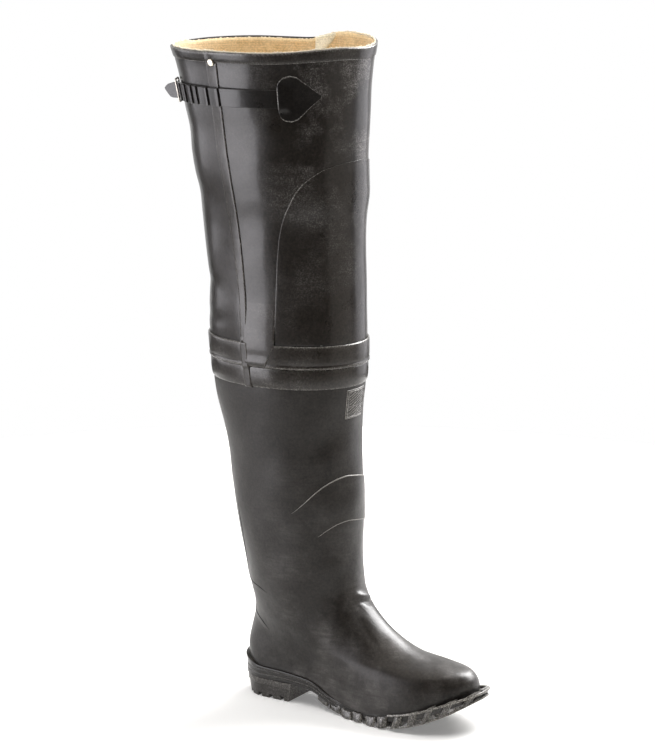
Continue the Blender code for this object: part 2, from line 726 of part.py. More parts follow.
# Rivet: a low domed head at the top of the side seam.
RIVET_ANGLE = 99.5
RIVET_LEVEL = 765.3
RIVET_RADIUS = 3.4
RIVET_HEIGHT = 1.4
RIVET_LIFT = 2.9
RIVET_ROUND = 0.5
place = (skin(math.radians(RIVET_ANGLE), RIVET_LEVEL, RIVET_LIFT) - (HEEL_MIDDLE, 0, 0)) * MM
_, _, rivet_axis = leg_axes(RIVET_ANGLE, RIVET_LEVEL - STRAP_HALF)
turn = math.atan2(rivet_axis[1], rivet_axis[0])
bpy.ops.mesh.primitive_cylinder_add(vertices=16, radius=RIVET_RADIUS * MM,
                                    depth=RIVET_HEIGHT * MM, location=tuple(place),
                                    rotation=(0, math.acos(rivet_axis[2]), turn))
rivet = bpy.context.object
rivet.name = "collar_rivet"
for home in list(rivet.users_collection):
    home.objects.unlink(rivet)
boot.objects.link(rivet)
rivet.data.materials.append(BRASS)
rounding = rivet.modifiers.new("round", "BEVEL")
rounding.width = RIVET_ROUND * MM
rounding.segments = 1
rounding.limit_method = "ANGLE"

# Shin overlay: a second layer round the front of the shin, between two swept edges.
Sweep = namedtuple("Sweep", "angle low high")
SHIN_OVERLAY = [
    Sweep(-74, 233, 236), Sweep(-65, 221, 245.5), Sweep(-56, 210, 254), Sweep(-45, 211, 263.5),
    Sweep(-30, 219.5, 273.5), Sweep(-14.5, 225.5, 280), Sweep(0, 229, 284), Sweep(16, 231, 286),
    Sweep(27.5, 228, 283), Sweep(38, 221.5, 277), Sweep(50.5, 212, 265), Sweep(58, 212, 256),
    Sweep(66, 224, 246.5), Sweep(74, 235, 238),
]
OVERLAY_LIFT = 0.4
OVERLAY_THICK = 0.7
OVERLAY_SHARES = [0.0, 0.35, 0.7, 1.0]
columns = np.arange(9, -10, -1) * facet
low = smooth(SHIN_OVERLAY, "angle", "low", columns)
high = smooth(SHIN_OVERLAY, "angle", "high", columns)
shin_overlay = shell(
    "shin_overlay",
    [skin(np.radians(columns), low + (high - low) * t, np.full_like(columns, OVERLAY_LIFT))
     for t in OVERLAY_SHARES],
    RUBBER, OVERLAY_THICK, True)

# Label patch: a thin plain rubber square on the front of the shin, under the bands.
LABEL_REACH = 13.5
LABEL_ROWS = [353.0, 365.0, 376.0, 388.0]
LABEL_COLUMNS = 6
LABEL_LIFT = 0.4
LABEL_THICK = 0.8
u = np.radians(np.linspace(LABEL_REACH, -LABEL_REACH, LABEL_COLUMNS))
label = shell("shin_label", [skin(u, h, np.full_like(u, LABEL_LIFT)) for h in LABEL_ROWS],
              TRIM_RUBBER, LABEL_THICK, True)
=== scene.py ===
import math
from collections import namedtuple

import bmesh
import bpy
import numpy as np
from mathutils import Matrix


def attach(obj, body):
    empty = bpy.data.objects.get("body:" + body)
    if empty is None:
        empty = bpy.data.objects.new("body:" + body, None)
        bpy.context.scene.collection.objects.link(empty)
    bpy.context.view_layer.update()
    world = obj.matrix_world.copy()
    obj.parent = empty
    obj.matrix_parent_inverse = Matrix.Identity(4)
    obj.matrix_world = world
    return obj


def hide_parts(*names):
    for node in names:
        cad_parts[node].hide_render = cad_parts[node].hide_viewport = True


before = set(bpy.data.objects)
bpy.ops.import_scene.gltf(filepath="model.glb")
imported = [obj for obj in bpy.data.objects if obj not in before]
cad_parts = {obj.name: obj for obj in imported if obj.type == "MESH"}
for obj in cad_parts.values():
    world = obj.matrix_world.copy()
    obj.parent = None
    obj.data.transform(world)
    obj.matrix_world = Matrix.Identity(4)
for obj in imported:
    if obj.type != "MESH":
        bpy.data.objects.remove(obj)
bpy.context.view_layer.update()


# Upper: foot and leg in one wall of black rubber sheet, laid up over a last and cured.
# Walking has left a soft crease across the instep.
# Millimetres from the heel back, +Y the inner side.
FOOT_LENGTH = 318.0
HEEL_MIDDLE = 40.0
BOOT_HEIGHT = 777.0
KNEE_JOINT = 428.0
SEAT_GAP = 0.8
HEEL_ROUND = 38.0
TOE_ROUND = 72.0
TOE_LEAN = 6.0
END_POWER = 2.2
LEG_POWER = 2.2
COLLAR_DEPTH = 70.0
SMALL_TURN = 0.004
# A degree round the leg is about this long on the wall.
DEGREE = 1.2


def table(columns, *rows):
    """Rows with named columns, the first of them the place along a curve."""
    Row = namedtuple("Row", columns)
    return [Row(*row) for row in rows]


COLLAR_LINE = table(
    "angle rise",
    (0, 4.6), (22, 5.8), (33, 4.8), (41, 3.8), (55, 1.7), (70, 0.4), (90, 0), (175, 0),
    (205, 1.7), (232, 2.5), (255, 2.0), (265, 2.4), (271, 4.0), (277, 7.0), (284, 10.2),
    (291, 11.6), (303, 11.4), (319, 9.8), (332, 7.8), (346, 5.4), (360, 4.6),
)
SOLE = table(
    "x lateral medial tread seat plate feather",
    (0, 37, 36, 24, 40, 16, 0.945),
    (38, 37, 36, 24, 38, 14, 0.945),
    (78, 37, 35, 24, 36, 12, 0.945),
    (110, 37, 29, 15, 31, 11, 0.950),
    (135, 40, 30, 4.5, 20, 9, 0.960),
    (165, 46, 37, 0, 13, 6.5, 0.975),
    (205, 52, 47, 0, 14, 7, 0.980),
    (235, 52, 50, 4, 19, 7.5, 0.980),
    (262, 49, 50, 12, 26.5, 7.5, 0.975),
    (290, 44, 49, 24, 37, 7, 0.965),
    (318, 38, 48, 40, 47, 5, 0.950),
)
LEG = table(
    "z back front half",
    (240, -14, 147.5, 62), (270, -18.5, 147, 63.5), (300, -22, 145, 64.5),
    (330, -29, 143.5, 66.5), (360, -37, 145, 70), (385, -41, 147.5, 72.5),
    (410, -44, 149.5, 73.5), (428, -45, 149.5, 74), (456, -47.5, 149.2, 75),
    (500, -46.6, 147.7, 74.5), (542, -51, 146.7, 75.5), (584, -55, 147.7, 77.7),
    (612, -58, 150.3, 81), (630, -63, 149.5, 83), (655, -67, 148.8, 85),
    (682, -69, 150, 86.5), (709, -76, 151, 89), (737, -82, 151.8, 92),
    (764, -89, 155, 95.5), (777, -93.5, 157.5, 98),
)
RINGS = table(
    "back_z back_x front_x front_z lateral medial sole sag nose",
    (40, 3.5, 307, 46, 46, 46, 1.00, 1.00, 2.0),
    (50, 1.5, 306.5, 55, 46, 46, 0.95, 0.85, 2.3),
    (60, 0.5, 303, 63.5, 47, 46, 0.80, 0.66, 2.5),
    (69, 1.0, 295, 69.5, 46, 45, 0.60, 0.46, 2.5),
    (78, 2.5, 278, 72.5, 45, 44, 0.40, 0.28, 2.0),
    (87, 4.5, 250, 75.5, 45, 44, 0.22, 0.14, 1.55),
    (97, 7.0, 221, 85, 46, 45, 0.08, 0.05, 1.4),
    (108, 9.0, 193, 100.5, 48, 47, 0, 0, 1.45),
    (120, 9.5, 171, 119, 50, 49, 0, 0, 1.6),
    (135, 7.0, 156.5, 138, 53, 52, 0, 0, 1.85),
    (155, 3.0, 150, 160, 56, 55, 0, 0, 2.1),
    (180, -2, 147.5, 185, 58, 58, 0, 0, 2.2),
    (208, -8, 147.5, 210, 60, 60, 0, 0, 2.2),
    *[(row.z, row.back, row.front, row.z, row.half, row.half, 0, 0, LEG_POWER) for row in LEG],
)


def smooth(rows, name, at):
    """Cubic curve through the column `name`, along the first column."""
    px = np.array([row[0] for row in rows], float)
    py = np.array([getattr(row, name) for row in rows], float)
    slope = np.gradient(py, px)
    at = np.clip(np.asarray(at, float), px[0], px[-1])
    i = np.clip(np.searchsorted(px, at, side="right") - 1, 0, len(px) - 2)
    step = px[i + 1] - px[i]
    t = (at - px[i]) / step
    h00 = 2 * t**3 - 3 * t**2 + 1
    h10 = t**3 - 2 * t**2 + t
    h11 = t**3 - t**2
    bend = h10 * step * slope[i]
    return h00 * py[i] + bend + (1 - h00) * py[i + 1] + h11 * step * slope[i + 1]


def toe_share(x):
    return np.clip((x - FOOT_LENGTH + TOE_ROUND) / TOE_ROUND, 0, 1)


def toe_lean(x):
    return TOE_LEAN * toe_share(x) ** 2


def half_sole(x, side):
    """Half width of the sole at x, lateral for side -1 and medial for side +1."""
    width = np.where(side < 0, smooth(SOLE, "lateral", x), smooth(SOLE, "medial", x))
    for end in (np.clip((HEEL_ROUND - x) / HEEL_ROUND, 0, 1), toe_share(x)):
        width = width * (1 - end**END_POWER) ** (1 / END_POWER)
    return width


def body(u, h):
    """Outer face of the boot at angle u (0 toe, pi heel) and back height h."""
    u = np.asarray(u, float)
    ring = {key: smooth(RINGS, key, h) for key in RINGS[0]._fields}
    share = (1 + np.cos(u)) / 2
    side = np.where(np.sin(u) < 0, 1.0, -1.0)
    x = ring["back_x"] + (ring["front_x"] - ring["back_x"]) * share
    along = share * FOOT_LENGTH
    outline = half_sole(along, side) * smooth(SOLE, "feather", along)
    width = np.where(side < 0, ring["lateral"], ring["medial"])
    power = np.where(share > 0.5, ring["nose"], LEG_POWER)
    oval = width * np.clip(1 - np.abs(np.cos(u)) ** power, 0, 1) ** 0.5
    sole = np.clip(ring["sole"], 0, 1)
    y = side * (sole * outline + (1 - sole) * oval) + sole * toe_lean(along)
    level = ring["back_z"] + (ring["front_z"] - ring["back_z"]) * share
    low = RINGS[0]
    first = low.back_z + (low.front_z - low.back_z) * share
    rest = smooth(SOLE, "seat", low.back_x + (low.front_x - low.back_x) * share)
    z = level + ring["sag"] * (rest + SEAT_GAP - first)
    top = np.clip((h - BOOT_HEIGHT + COLLAR_DEPTH) / COLLAR_DEPTH, 0, 1)
    z = z + smooth(COLLAR_LINE, "rise", np.degrees(u) % 360) * top**2
    return np.stack([x, y, z + 0 * x], -1)


def unit(vectors):
    return vectors / np.linalg.norm(vectors, axis=-1, keepdims=True)


def skin(u, h, lift):
    """Point lifted off the outer face along its normal."""
    u, h = np.broadcast_arrays(np.asarray(u, float), np.asarray(h, float))
    along = body(u + SMALL_TURN, h) - body(u - SMALL_TURN, h)
    higher, lower = np.minimum(h + 1, BOOT_HEIGHT), np.maximum(h - 1, RINGS[0].back_z)
    normal = unit(np.cross(body(u, higher) - body(u, lower), along))
    return body(u, h) + normal * np.asarray(lift)[..., None]


def bell(distance, width):
    return np.exp(-((distance / width) ** 2))


def ease(x, low, high):
    t = np.clip((x - low) / (high - low), 0, 1)
    return t * t * (3 - 2 * t)


def end_fade(share, fade):
    return ease(share, 0, fade[0]) * (1 - ease(share, 1 - fade[1], 1))


def crease(u, z, line, depth, width, fade):
    """Soft ridge or trough along a line of (degrees, height) points."""
    pts = np.array(line, float) * (DEGREE, 1)
    place = np.stack([np.asarray(u) * DEGREE, np.asarray(z)], -1)
    best = np.full(place.shape[:-1], 1e9)
    share = np.zeros(place.shape[:-1])
    steps = np.linalg.norm(np.diff(pts, axis=0), axis=1)
    starts = np.concatenate([[0], np.cumsum(steps)])
    for a, b, length, start in zip(pts[:-1], pts[1:], steps, starts):
        run = (b - a) / length
        off = place - a
        t = np.clip(off @ run, 0, length)
        gap = np.linalg.norm(off - t[..., None] * run, axis=-1)
        nearer = gap < best
        best = np.where(nearer, gap, best)
        share = np.where(nearer, (start + t) / starts[-1], share)
    return depth * bell(best, width) * end_fade(share, fade)


RIPPLES = table(
    "turns length shift share",
    (3, 37, 1.1, 0.5), (5, -23, 0.4, 0.35), (9, 15, 2.6, 0.25), (2, 61, 0, 0.2),
)


def ripple(u, z, scale):
    """Slow unevenness of hand-laid sheet, in millimetres."""
    a = np.radians(u)
    return scale * sum(
        row.share * np.sin(row.turns * a + z / row.length + row.shift) for row in RIPPLES
    )


FOOT_FOLDS = table(
    "rise width fade line",
    (-2.3, 3.2, (0.3, 0.35), [(-28, 122), (-13, 128.5), (-3.7, 130.3), (7.3, 133.4), (17, 133)]),
    (-1.6, 8.0, (0.3, 0.5), [(2, 132), (14, 131), (24, 121.4), (34, 107), (46, 90)]),
    (3.0, 4.6, (0.3, 0.4), [(-24, 131), (-6, 136.2), (8, 139), (21, 140)]),
    (0.8, 4.0, (0.2, 0.5), [(20, 145), (27, 140), (40, 128), (53.5, 114), (70, 96), (93, 70)]),
    (-0.5, 2.0, (0.4, 0.4), [(27, 106), (41.5, 92), (46, 88)]),
    (-0.5, 2.2, (0.4, 0.4), [(29, 98), (42.5, 85.5), (48, 81)]),
    (1.0, 14.0, (0.3, 0.25), [(64, 284), (45, 300), (20, 316), (-6, 324), (-30, 318)]),
    (0.8, 13.0, (0.3, 0.3), [(60, 236), (40, 246), (20, 252), (-6, 255), (-30, 250)]),
    (0.8, 13.0, (0.3, 0.3), [(66, 162), (42, 174), (20, 181), (-6, 184), (-30, 178)]),
)
UPPER_RIPPLE = 0.80
RIPPLE_IN = (75, 150)
RIPPLE_OUT = (350, 390)


def upper_relief(u, z):
    """Height of the creases on the upper's face, in millimetres."""
    u = (u + 180) % 360 - 180
    out = ripple(u, z, UPPER_RIPPLE) * ease(z, *RIPPLE_IN) * (1 - ease(z, *RIPPLE_OUT))
    for fold in FOOT_FOLDS:
        out = out + crease(u, z, fold.line, fold.rise, fold.width, fold.fade)
    return out


def full_turn(count):
    return np.linspace(0, 2 * math.pi, count, endpoint=False)


def grid_faces(rows, columns, ring_rows=True, ring_columns=True):
    """Quads of a grid whose columns run round the leg and whose rows run up it."""
    r = np.arange(rows if ring_rows else rows - 1)
    c = np.arange(columns if ring_columns else columns - 1)
    r, c = np.meshgrid(r, c, indexing="ij")
    up = (r + 1) % rows
    on = (c + 1) % columns
    quads = [r * columns + c, up * columns + c, up * columns + on, r * columns + on]
    return np.stack(quads, -1).reshape(-1, 4)


def make_piece(name, points, faces, finish, outward=False, crisp=None):
    """Smooth-shaded mesh object from millimetre points."""
    pts = (np.asarray(points, float).reshape(-1, 3) - (HEEL_MIDDLE, 0, 0)) / 1000
    mesh = bpy.data.meshes.new(name)
    mesh.from_pydata(pts.tolist(), [], [list(map(int, face)) for face in faces])
    if outward:
        shape = bmesh.new()
        shape.from_mesh(mesh)
        bmesh.ops.remove_doubles(shape, verts=shape.verts, dist=1e-6)
        bmesh.ops.recalc_face_normals(shape, faces=shape.faces)
        shape.to_mesh(mesh)
        shape.free()
    mesh.polygons.foreach_set("use_smooth", [True] * len(mesh.polygons))
    if crisp is not None:
        mesh.set_sharp_from_angle(angle=math.radians(crisp))
    mesh.materials.append(finish)
    piece = bpy.data.objects.new(name, mesh)
    bpy.context.scene.collection.objects.link(piece)
    return piece


def ring_piece(name, rows, finish, outward=False):
    """Piece whose rows of points are rings, the last joined to the first."""
    rows = np.array(rows)
    return make_piece(name, rows, grid_faces(*rows.shape[:2]), finish, outward)


def node(tree, kind, **settings):
    made = tree.nodes.new(kind)
    for key, value in settings.items():
        if key in made.inputs:
            made.inputs[key].default_value = value
        else:
            setattr(made, key, value)
    return made


def noise(tree, place, scale, detail, roughness=0.5):
    made = node(tree, "ShaderNodeTexNoise", Scale=scale, Detail=detail, Roughness=roughness)
    tree.links.new(place, made.inputs["Vector"])
    return made.outputs[0]


def spread(tree, source, low, high, to_low, to_high):
    """The values low to high of a texture, stretched to another range."""
    made = node(tree, "ShaderNodeMapRange")
    for slot, value in zip((1, 2, 3, 4), (low, high, to_low, to_high)):
        made.inputs[slot].default_value = value
    tree.links.new(source, made.inputs[0])
    return made.outputs[0]


def product(tree, first, second):
    made = node(tree, "ShaderNodeMath", operation="MULTIPLY")
    for slot, value in zip(made.inputs, (first, second)):
        if isinstance(value, float):
            slot.default_value = value
        else:
            tree.links.new(value, slot)
    return made.outputs[0]


def blend(tree, amount, first, second):
    """Colour between two, each a colour or the output of another node."""
    made = node(tree, "ShaderNodeMix", data_type="RGBA")
    tree.links.new(amount, made.inputs[0])
    for slot, value in ((made.inputs[6], first), (made.inputs[7], second)):
        if isinstance(value, tuple):
            slot.default_value = (*value, 1)
        else:
            tree.links.new(value, slot)
    return made.outputs[2]


def scaled(colour, share):
    return tuple(c * share for c in colour)


def bump(tree, height, strength, distance, under=None):
    made = node(tree, "ShaderNodeBump", Strength=strength, Distance=distance)
    tree.links.new(height, made.inputs["Height"])
    if under is not None:
        tree.links.new(under, made.inputs["Normal"])
    return made.outputs[0]


def new_finish(name):
    """Material with its node tree, its shader and the piece's own coordinates."""
    finish = bpy.data.materials.new(name)
    finish.use_nodes = True
    tree = finish.node_tree
    place = node(tree, "ShaderNodeTexCoord").outputs["Object"]
    return finish, tree, tree.nodes["Principled BSDF"], place


DUST_AND_SHEEN = (0.30, 0.28, 0.265)
SCUFF_AND_GLINT = (0.34, 0.32, 0.29)


def cured_rubber(name, colour, roughness, bloom_and_sheen, grain=0.12, dust_and_sheen_reach=None, worn=0.0,
                 coat=(0.25, 0.16), speck=1.0):
    """Black rubber, mottled and cloudy, with a pale bloom and mould grain; edges may be lightened.

    The bloom's reach gives the (height, height, forward, forward) over which it grows,
    `coat` the weight and roughness of the gloss. The bloom is dust, and where it is strong on
    the foot side and toe cleats it is also painted reflection and highlight. The lightened
    edges are partly wear and partly painted highlight, where gloss would catch them.
    """
    finish, tree, shader, place = new_finish(name)
    link = tree.links.new
    brushed = node(tree, "ShaderNodeMapping", Scale=(1, 1, 7))
    link(place, brushed.inputs["Vector"])
    clouds = noise(tree, place, 15, 6, 0.62)
    haze = noise(tree, place, 19, 5, 0.6)
    mottle = noise(tree, place, 330, 5, 0.75)
    specks = noise(tree, place, 620, 3, 0.6)
    waves = noise(tree, place, 30, 4)
    strokes = noise(tree, brushed.outputs[0], 36, 6, 0.65)
    gloss = spread(tree, clouds, 0.3, 0.7, roughness - 0.08, roughness + 0.10)
    link(gloss, shader.inputs["Roughness"])
    shader.inputs["Specular IOR Level"].default_value = 0.22
    shader.inputs["Coat Weight"].default_value = coat[0]
    shader.inputs["Coat Roughness"].default_value = coat[1]
    shade = spread(tree, mottle, 0.36, 0.64, 0.0, 1.0)
    shown = blend(tree, shade, scaled(colour, 0.55), scaled(colour, 1.45))
    patch = product(tree, spread(tree, haze, 0.44, 0.63, 0.0, 1.15),
                    spread(tree, strokes, 0.35, 0.65, 0.45, 1.4))
    dots = spread(tree, specks, 0.46, 0.68, 1 - 0.75 * speck, 1 + 0.8 * speck)
    amount = product(tree, product(tree, patch, dots), float(bloom_and_sheen))
    if dust_and_sheen_reach is not None:
        axes = node(tree, "ShaderNodeSeparateXYZ")
        link(place, axes.inputs[0])
        up = spread(tree, axes.outputs["Z"], dust_and_sheen_reach[0], dust_and_sheen_reach[1], 0.15, 1.0)
        ahead = spread(tree, axes.outputs["X"], dust_and_sheen_reach[2], dust_and_sheen_reach[3], 0.08, 1.0)
        amount = product(tree, amount, product(tree, up, ahead))
    # Pale bloom: dust, and where strong on the foot side and toe also painted reflection and
    # highlight.
    shown = blend(tree, amount, shown, DUST_AND_SHEEN)
    # Ridges and edges lightened by their sharpness: partly wear, partly painted highlight.
    if worn:
        ridges = node(tree, "ShaderNodeNewGeometry").outputs["Pointiness"]
        rubbed_and_glint = product(tree, spread(tree, ridges, 0.512, 0.57, 0.0, worn), dots)
        shown = blend(tree, rubbed_and_glint, shown, SCUFF_AND_GLINT)
    link(shown, shader.inputs["Base Color"])
    swell = bump(tree, waves, 0.36, 0.003)
    link(bump(tree, specks, grain, 0.0005, swell), shader.inputs["Normal"])
    return finish


AROUND = 288
UPPER_WALL = 2.2


def wall_rows(heights, relief, thickness, inner_heights):
    """Outer face with its relief, then the inner face from the top down."""
    uu, hh = np.meshgrid(full_turn(AROUND), heights)
    outer = skin(uu, hh, relief(np.degrees(uu), body(uu, hh)[..., 2]))
    inner = skin(*np.meshgrid(full_turn(AROUND), inner_heights[::-1]), -thickness)
    return np.concatenate([outer, inner])


upper_heights = np.concatenate([np.linspace(40, 130, 124), np.linspace(130.8, KNEE_JOINT, 190)])
upper_inner = np.linspace(41.5, KNEE_JOINT, 30)
# The bloom toward the lower front is partly dust, partly painted reflection lightening the foot
# side.
boot_look = dict(colour=(0.0155, 0.0126, 0.0104), roughness=0.41, bloom_and_sheen=0.16,
                 dust_and_sheen_reach=(0.32, 0.05, -0.05, 0.05), coat=(0.10, 0.33), speck=0.3)
boot_rubber = cured_rubber("boot_rubber", **boot_look)
upper = ring_piece("boot_upper", wall_rows(upper_heights, upper_relief, UPPER_WALL, upper_inner),
                   boot_rubber)
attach(upper, "root")
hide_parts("upper")


# Shin overlay: a second layer of rubber sheet round the front of the shin, cut to two arched
# edges and feathered out at the sides, cemented on before the boot is cured.
SHIN_OVERLAY = table(
    "angle low high",
    (-74, 233, 236), (-65, 221, 245.5), (-56, 210, 254), (-45, 211, 263.5), (-30, 219.5, 273.5),
    (-14.5, 225.5, 280), (0, 229, 284), (16, 231, 286), (27.5, 228, 283), (38, 221.5, 277),
    (50.5, 212, 265), (58, 212, 256), (66, 224, 246.5), (74, 235, 238),
)
OVERLAY_THICK = 1.1
OVERLAY_END = 53
OVERLAY_SLANT = 23
OVERLAY_FEATHER = 26
OVERLAY_GAP = 0.03
OVERLAY_SUNK = 0.25
OVERLAY_UNDER = 0.4


def slab_faces(rows, columns):
    """Front and back grids of one size, joined along their border."""
    front = grid_faces(rows, columns, False, False)
    shift = rows * columns
    back = front[:, ::-1] + shift
    grid = np.arange(shift).reshape(rows, columns)
    loop = np.concatenate([grid[0, :-1], grid[:-1, -1], grid[-1, :0:-1], grid[:0:-1, 0]])
    on = np.roll(loop, -1)
    side = np.stack([loop, on, on + shift, loop + shift], -1)
    return np.concatenate([front, back, side])


def sheet(name, degrees, heights, top, bottom, finish):
    """Thin sheet laid on the boot, between two lifts off its face."""
    u = np.radians(degrees)
    points = np.concatenate([skin(u, heights, lift).reshape(-1, 3) for lift in (top, bottom)])
    return make_piece(name, points, slab_faces(*u.shape), finish, outward=True)


def border_rise(shape, steps):
    """Lift of a sheet's face: full inside and stepping down to its border."""
    r, c = (np.minimum(np.arange(count), np.arange(count)[::-1]) for count in shape)
    return np.interp(np.minimum(r[:, None], c[None, :]), range(len(steps)), steps)


def even_with_border(count, border):
    """Shares from 0 to 1, with the first and last steps narrowed to `border`."""
    first = np.array([0, border / 2, border])
    return np.concatenate([first, np.linspace(border, 1 - border, count)[1:-1], 1 - first[::-1]])


def between(rows, curve, angles, shares):
    """Angles and heights of a grid between the table's low and high edges."""
    low, high = (curve(rows, name, angles) for name in ("low", "high"))
    return angles + 0 * shares[:, None], low + (high - low) * shares[:, None]


share = even_with_border(60, 0.012)
overlay_u, overlay_h = between(SHIN_OVERLAY, smooth, np.linspace(-74, 74, 190), share)
ends = OVERLAY_END + OVERLAY_SLANT * share[:, None]
feathered = 1 - ease(np.abs(overlay_u), ends - OVERLAY_FEATHER, ends)
thick = border_rise(overlay_u.shape, (0.3, 0.8, 1.0)) * OVERLAY_THICK * feathered
sunk = OVERLAY_SUNK * (1 - ease(feathered, 0.0, 0.3))
under = upper_relief(overlay_u, overlay_h)
# Its cut edges are lightened strongly: partly wear, partly painted highlight along the lines.
lapped_rubber = cured_rubber("lapped_rubber", **boot_look, worn=2.2)
shin_overlay = sheet("shin_overlay_sheet", overlay_u, overlay_h,
                     under + thick + OVERLAY_GAP - sunk, under - OVERLAY_UNDER, lapped_rubber)
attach(shin_overlay, "root")
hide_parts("shin_overlay")


# Layer edges: the lapped edges of the sheets at ankle and heel, rolled down by hand, so
# each thins out behind its edge; the same on both sides of the foot. A matt near-black strip
# along each edge is painted shadow, the shade under the lap.
LAP_EDGES = table(
    "fade line",
    ((0.35, 0.12), [(130, 275), (133, 240), (135, 207), (141, 178), (147, 157), (149.5, 151),
                    (147, 146), (137, 143), (125, 141.6), (115.5, 137.4), (106, 132)]),
    ((0.2, 0.35), [(168, 111), (156.5, 105), (146, 99.5), (139, 95), (132, 87.6), (126, 79)]),
)
EDGE_STEPS = 110
EDGE_SECTION = [(-8.0, -0.2), (-4.0, 0.14), (-0.6, 0.5), (-0.15, 0.5),
                (0.12, 0.2), (0.25, -0.3), (0.25, -0.8), (-8.0, -0.8)]
PAINTED_SHADE_SECTION = [(-0.2, 0.4), (0.15, 0.42), (0.6, 0.2), (1.1, 0.02), (1.1, -0.5), (-0.2, -0.5)]


def height_for(u, z):
    """Back height whose surface point at angle u lies at z."""
    h = np.array(z, float)
    for _ in range(5):
        h = np.clip(h + z - body(u, h)[..., 2], RINGS[0].back_z, BOOT_HEIGHT)
    return h


def layer_edge(line, mirror, fade, section):
    """Sections of a lapped edge along a line of (degrees, height) points."""
    pts = np.array(line, float)
    steps = np.linalg.norm(np.diff(pts * (DEGREE, 1), axis=0), axis=1)
    walk = np.concatenate([[0], np.cumsum(steps)])
    at = np.linspace(0, walk[-1], EDGE_STEPS)
    path = np.column_stack([np.interp(at, walk, pts[:, 0]), np.interp(at, walk, pts[:, 1])])
    for _ in range(6):
        path[1:-1] = (path[:-2] + 2 * path[1:-1] + path[2:]) / 4
    run = unit(np.gradient(path * (DEGREE, 1), axis=0))
    strength = end_fade(np.linspace(0, 1, EDGE_STEPS), fade)[:, None]
    off, lift = np.array(section).T
    angle = np.radians(path[:, :1] + run[:, 1:] * off / DEGREE)
    level = path[:, 1:] - run[:, :1] * off
    rise = np.where(lift < 0, lift, lift * strength) - 0.3 * (1 - strength)
    rise = rise + upper_relief(np.degrees(angle), level)
    return skin(angle * mirror, height_for(angle, level), rise)


def capped_stack(rows, count):
    """Faces of a stack of loops, its first and last closed."""
    faces = [list(face) for face in grid_faces(rows, count, False)]
    return faces + [list(range(count)), list(range((rows - 1) * count, rows * count))]


def add_block(points, faces, more_points, more_faces):
    base = len(points)
    faces.extend([[i + base for i in face] for face in more_faces])
    return np.concatenate([points, more_points])


def lap_strips(name, section, finish):
    """Strips of one section along both edges, on both sides of the foot."""
    points = np.zeros((0, 3))
    faces = []
    for edge in LAP_EDGES:
        for mirror in (1, -1):
            strip = layer_edge(edge.line, mirror, edge.fade, section)
            points = add_block(points, faces, strip.reshape(-1, 3),
                               capped_stack(EDGE_STEPS, len(section)))
    return make_piece(name, points, faces, finish, outward=True, crisp=40)


layer_edges = lap_strips("layer_edges", EDGE_SECTION, boot_rubber)
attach(layer_edges, "root")
# Matt near-black strips at the foot of each lap: painted shadow under the lapped edge.
lap_painted_shade = cured_rubber("lap_painted_shade", (0.004, 0.0036, 0.0034), 0.8, 0.01)
painted_shade_lines = lap_strips("lap_painted_shade_lines", PAINTED_SHADE_SECTION, lap_painted_shade)
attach(painted_shade_lines, "root")


# Canvas lining: a tan cotton cloth cemented to the inside of the whole wall.
# It shows at the collar, where its cut edge is left raw and cream.
LINING_GAP = 0.25
LINING_THICK = 0.7
SHAFT_WALL = 1.6
LINING_AROUND = 200
FAR_FROM = (176, 190)
FAR_TO = (264, 272)
FAR_DROP = 1.8
FAR_HEIGHTS = (755, 776)
FOLD_ANGLE = 288.0
FOLD_WIDTH = 5.0
FOLD_RISE = 3.5
FOLD_SLANT = 0.35
FOLD_HEIGHTS = (725, 765)
STEP_HEIGHT = 12


def woven_canvas(name, colour, thread, pale):
    """Plain weave of thick cotton threads, soft and matt."""
    finish, tree, shader, place = new_finish(name)
    link = tree.links.new
    shader.inputs["Roughness"].default_value = 0.92
    shader.inputs["Sheen Weight"].default_value = 0.25
    stain = noise(tree, place, 70, 6, 0.7)
    weft = node(tree, "ShaderNodeTexWave", bands_direction="Z", Scale=thread, Distortion=1.5)
    link(place, weft.inputs["Vector"])
    both = node(tree, "ShaderNodeMath", operation="ADD")
    link(product(tree, weft.outputs["Fac"], 0.16), both.inputs[0])
    link(noise(tree, place, thread * 4.2, 2), both.inputs[1])
    shade = spread(tree, both.outputs[0], 0.44, 0.74, 0.0, 1.0)
    cloth = blend(tree, shade, scaled(colour, 0.66), colour)
    blotch = spread(tree, stain, 0.35, 0.7, 0.0, 0.55)
    link(blend(tree, blotch, cloth, pale), shader.inputs["Base Color"])
    link(bump(tree, both.outputs[0], 0.5, 0.0006), shader.inputs["Normal"])
    return finish


def far_side(degrees):
    """1 where the binding is turned in over the lining, 0 where the lining stands up."""
    return ease(degrees, *FAR_FROM) * (1 - ease(degrees, *FAR_TO))


lining_heights = np.concatenate([np.linspace(46, 420, 70), np.linspace(424, 776.6, 80)])
uu, hh = np.meshgrid(full_turn(LINING_AROUND), lining_heights)
degrees = np.degrees(uu)
step_in = (1 - ease(hh, KNEE_JOINT, KNEE_JOINT + STEP_HEIGHT)) * (hh >= KNEE_JOINT)
depth = np.where(hh < KNEE_JOINT, UPPER_WALL, SHAFT_WALL) + LINING_GAP
depth = depth + (UPPER_WALL - SHAFT_WALL) * step_in
hh = hh - FAR_DROP * far_side(degrees) * ease(hh, *FAR_HEIGHTS)
fold = bell(degrees - FOLD_ANGLE - (FAR_HEIGHTS[1] - hh) * FOLD_SLANT, FOLD_WIDTH)
depth = depth + FOLD_RISE * fold * ease(hh, *FOLD_HEIGHTS)
lining_rows = np.concatenate([skin(uu, hh, -depth), skin(uu, hh, -depth - LINING_THICK)[::-1]])
lining_canvas = woven_canvas("lining_canvas", (0.74, 0.53, 0.27), 110, (0.84, 0.68, 0.42))
lining = ring_piece("canvas_lining", lining_rows, lining_canvas)
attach(lining, "root")

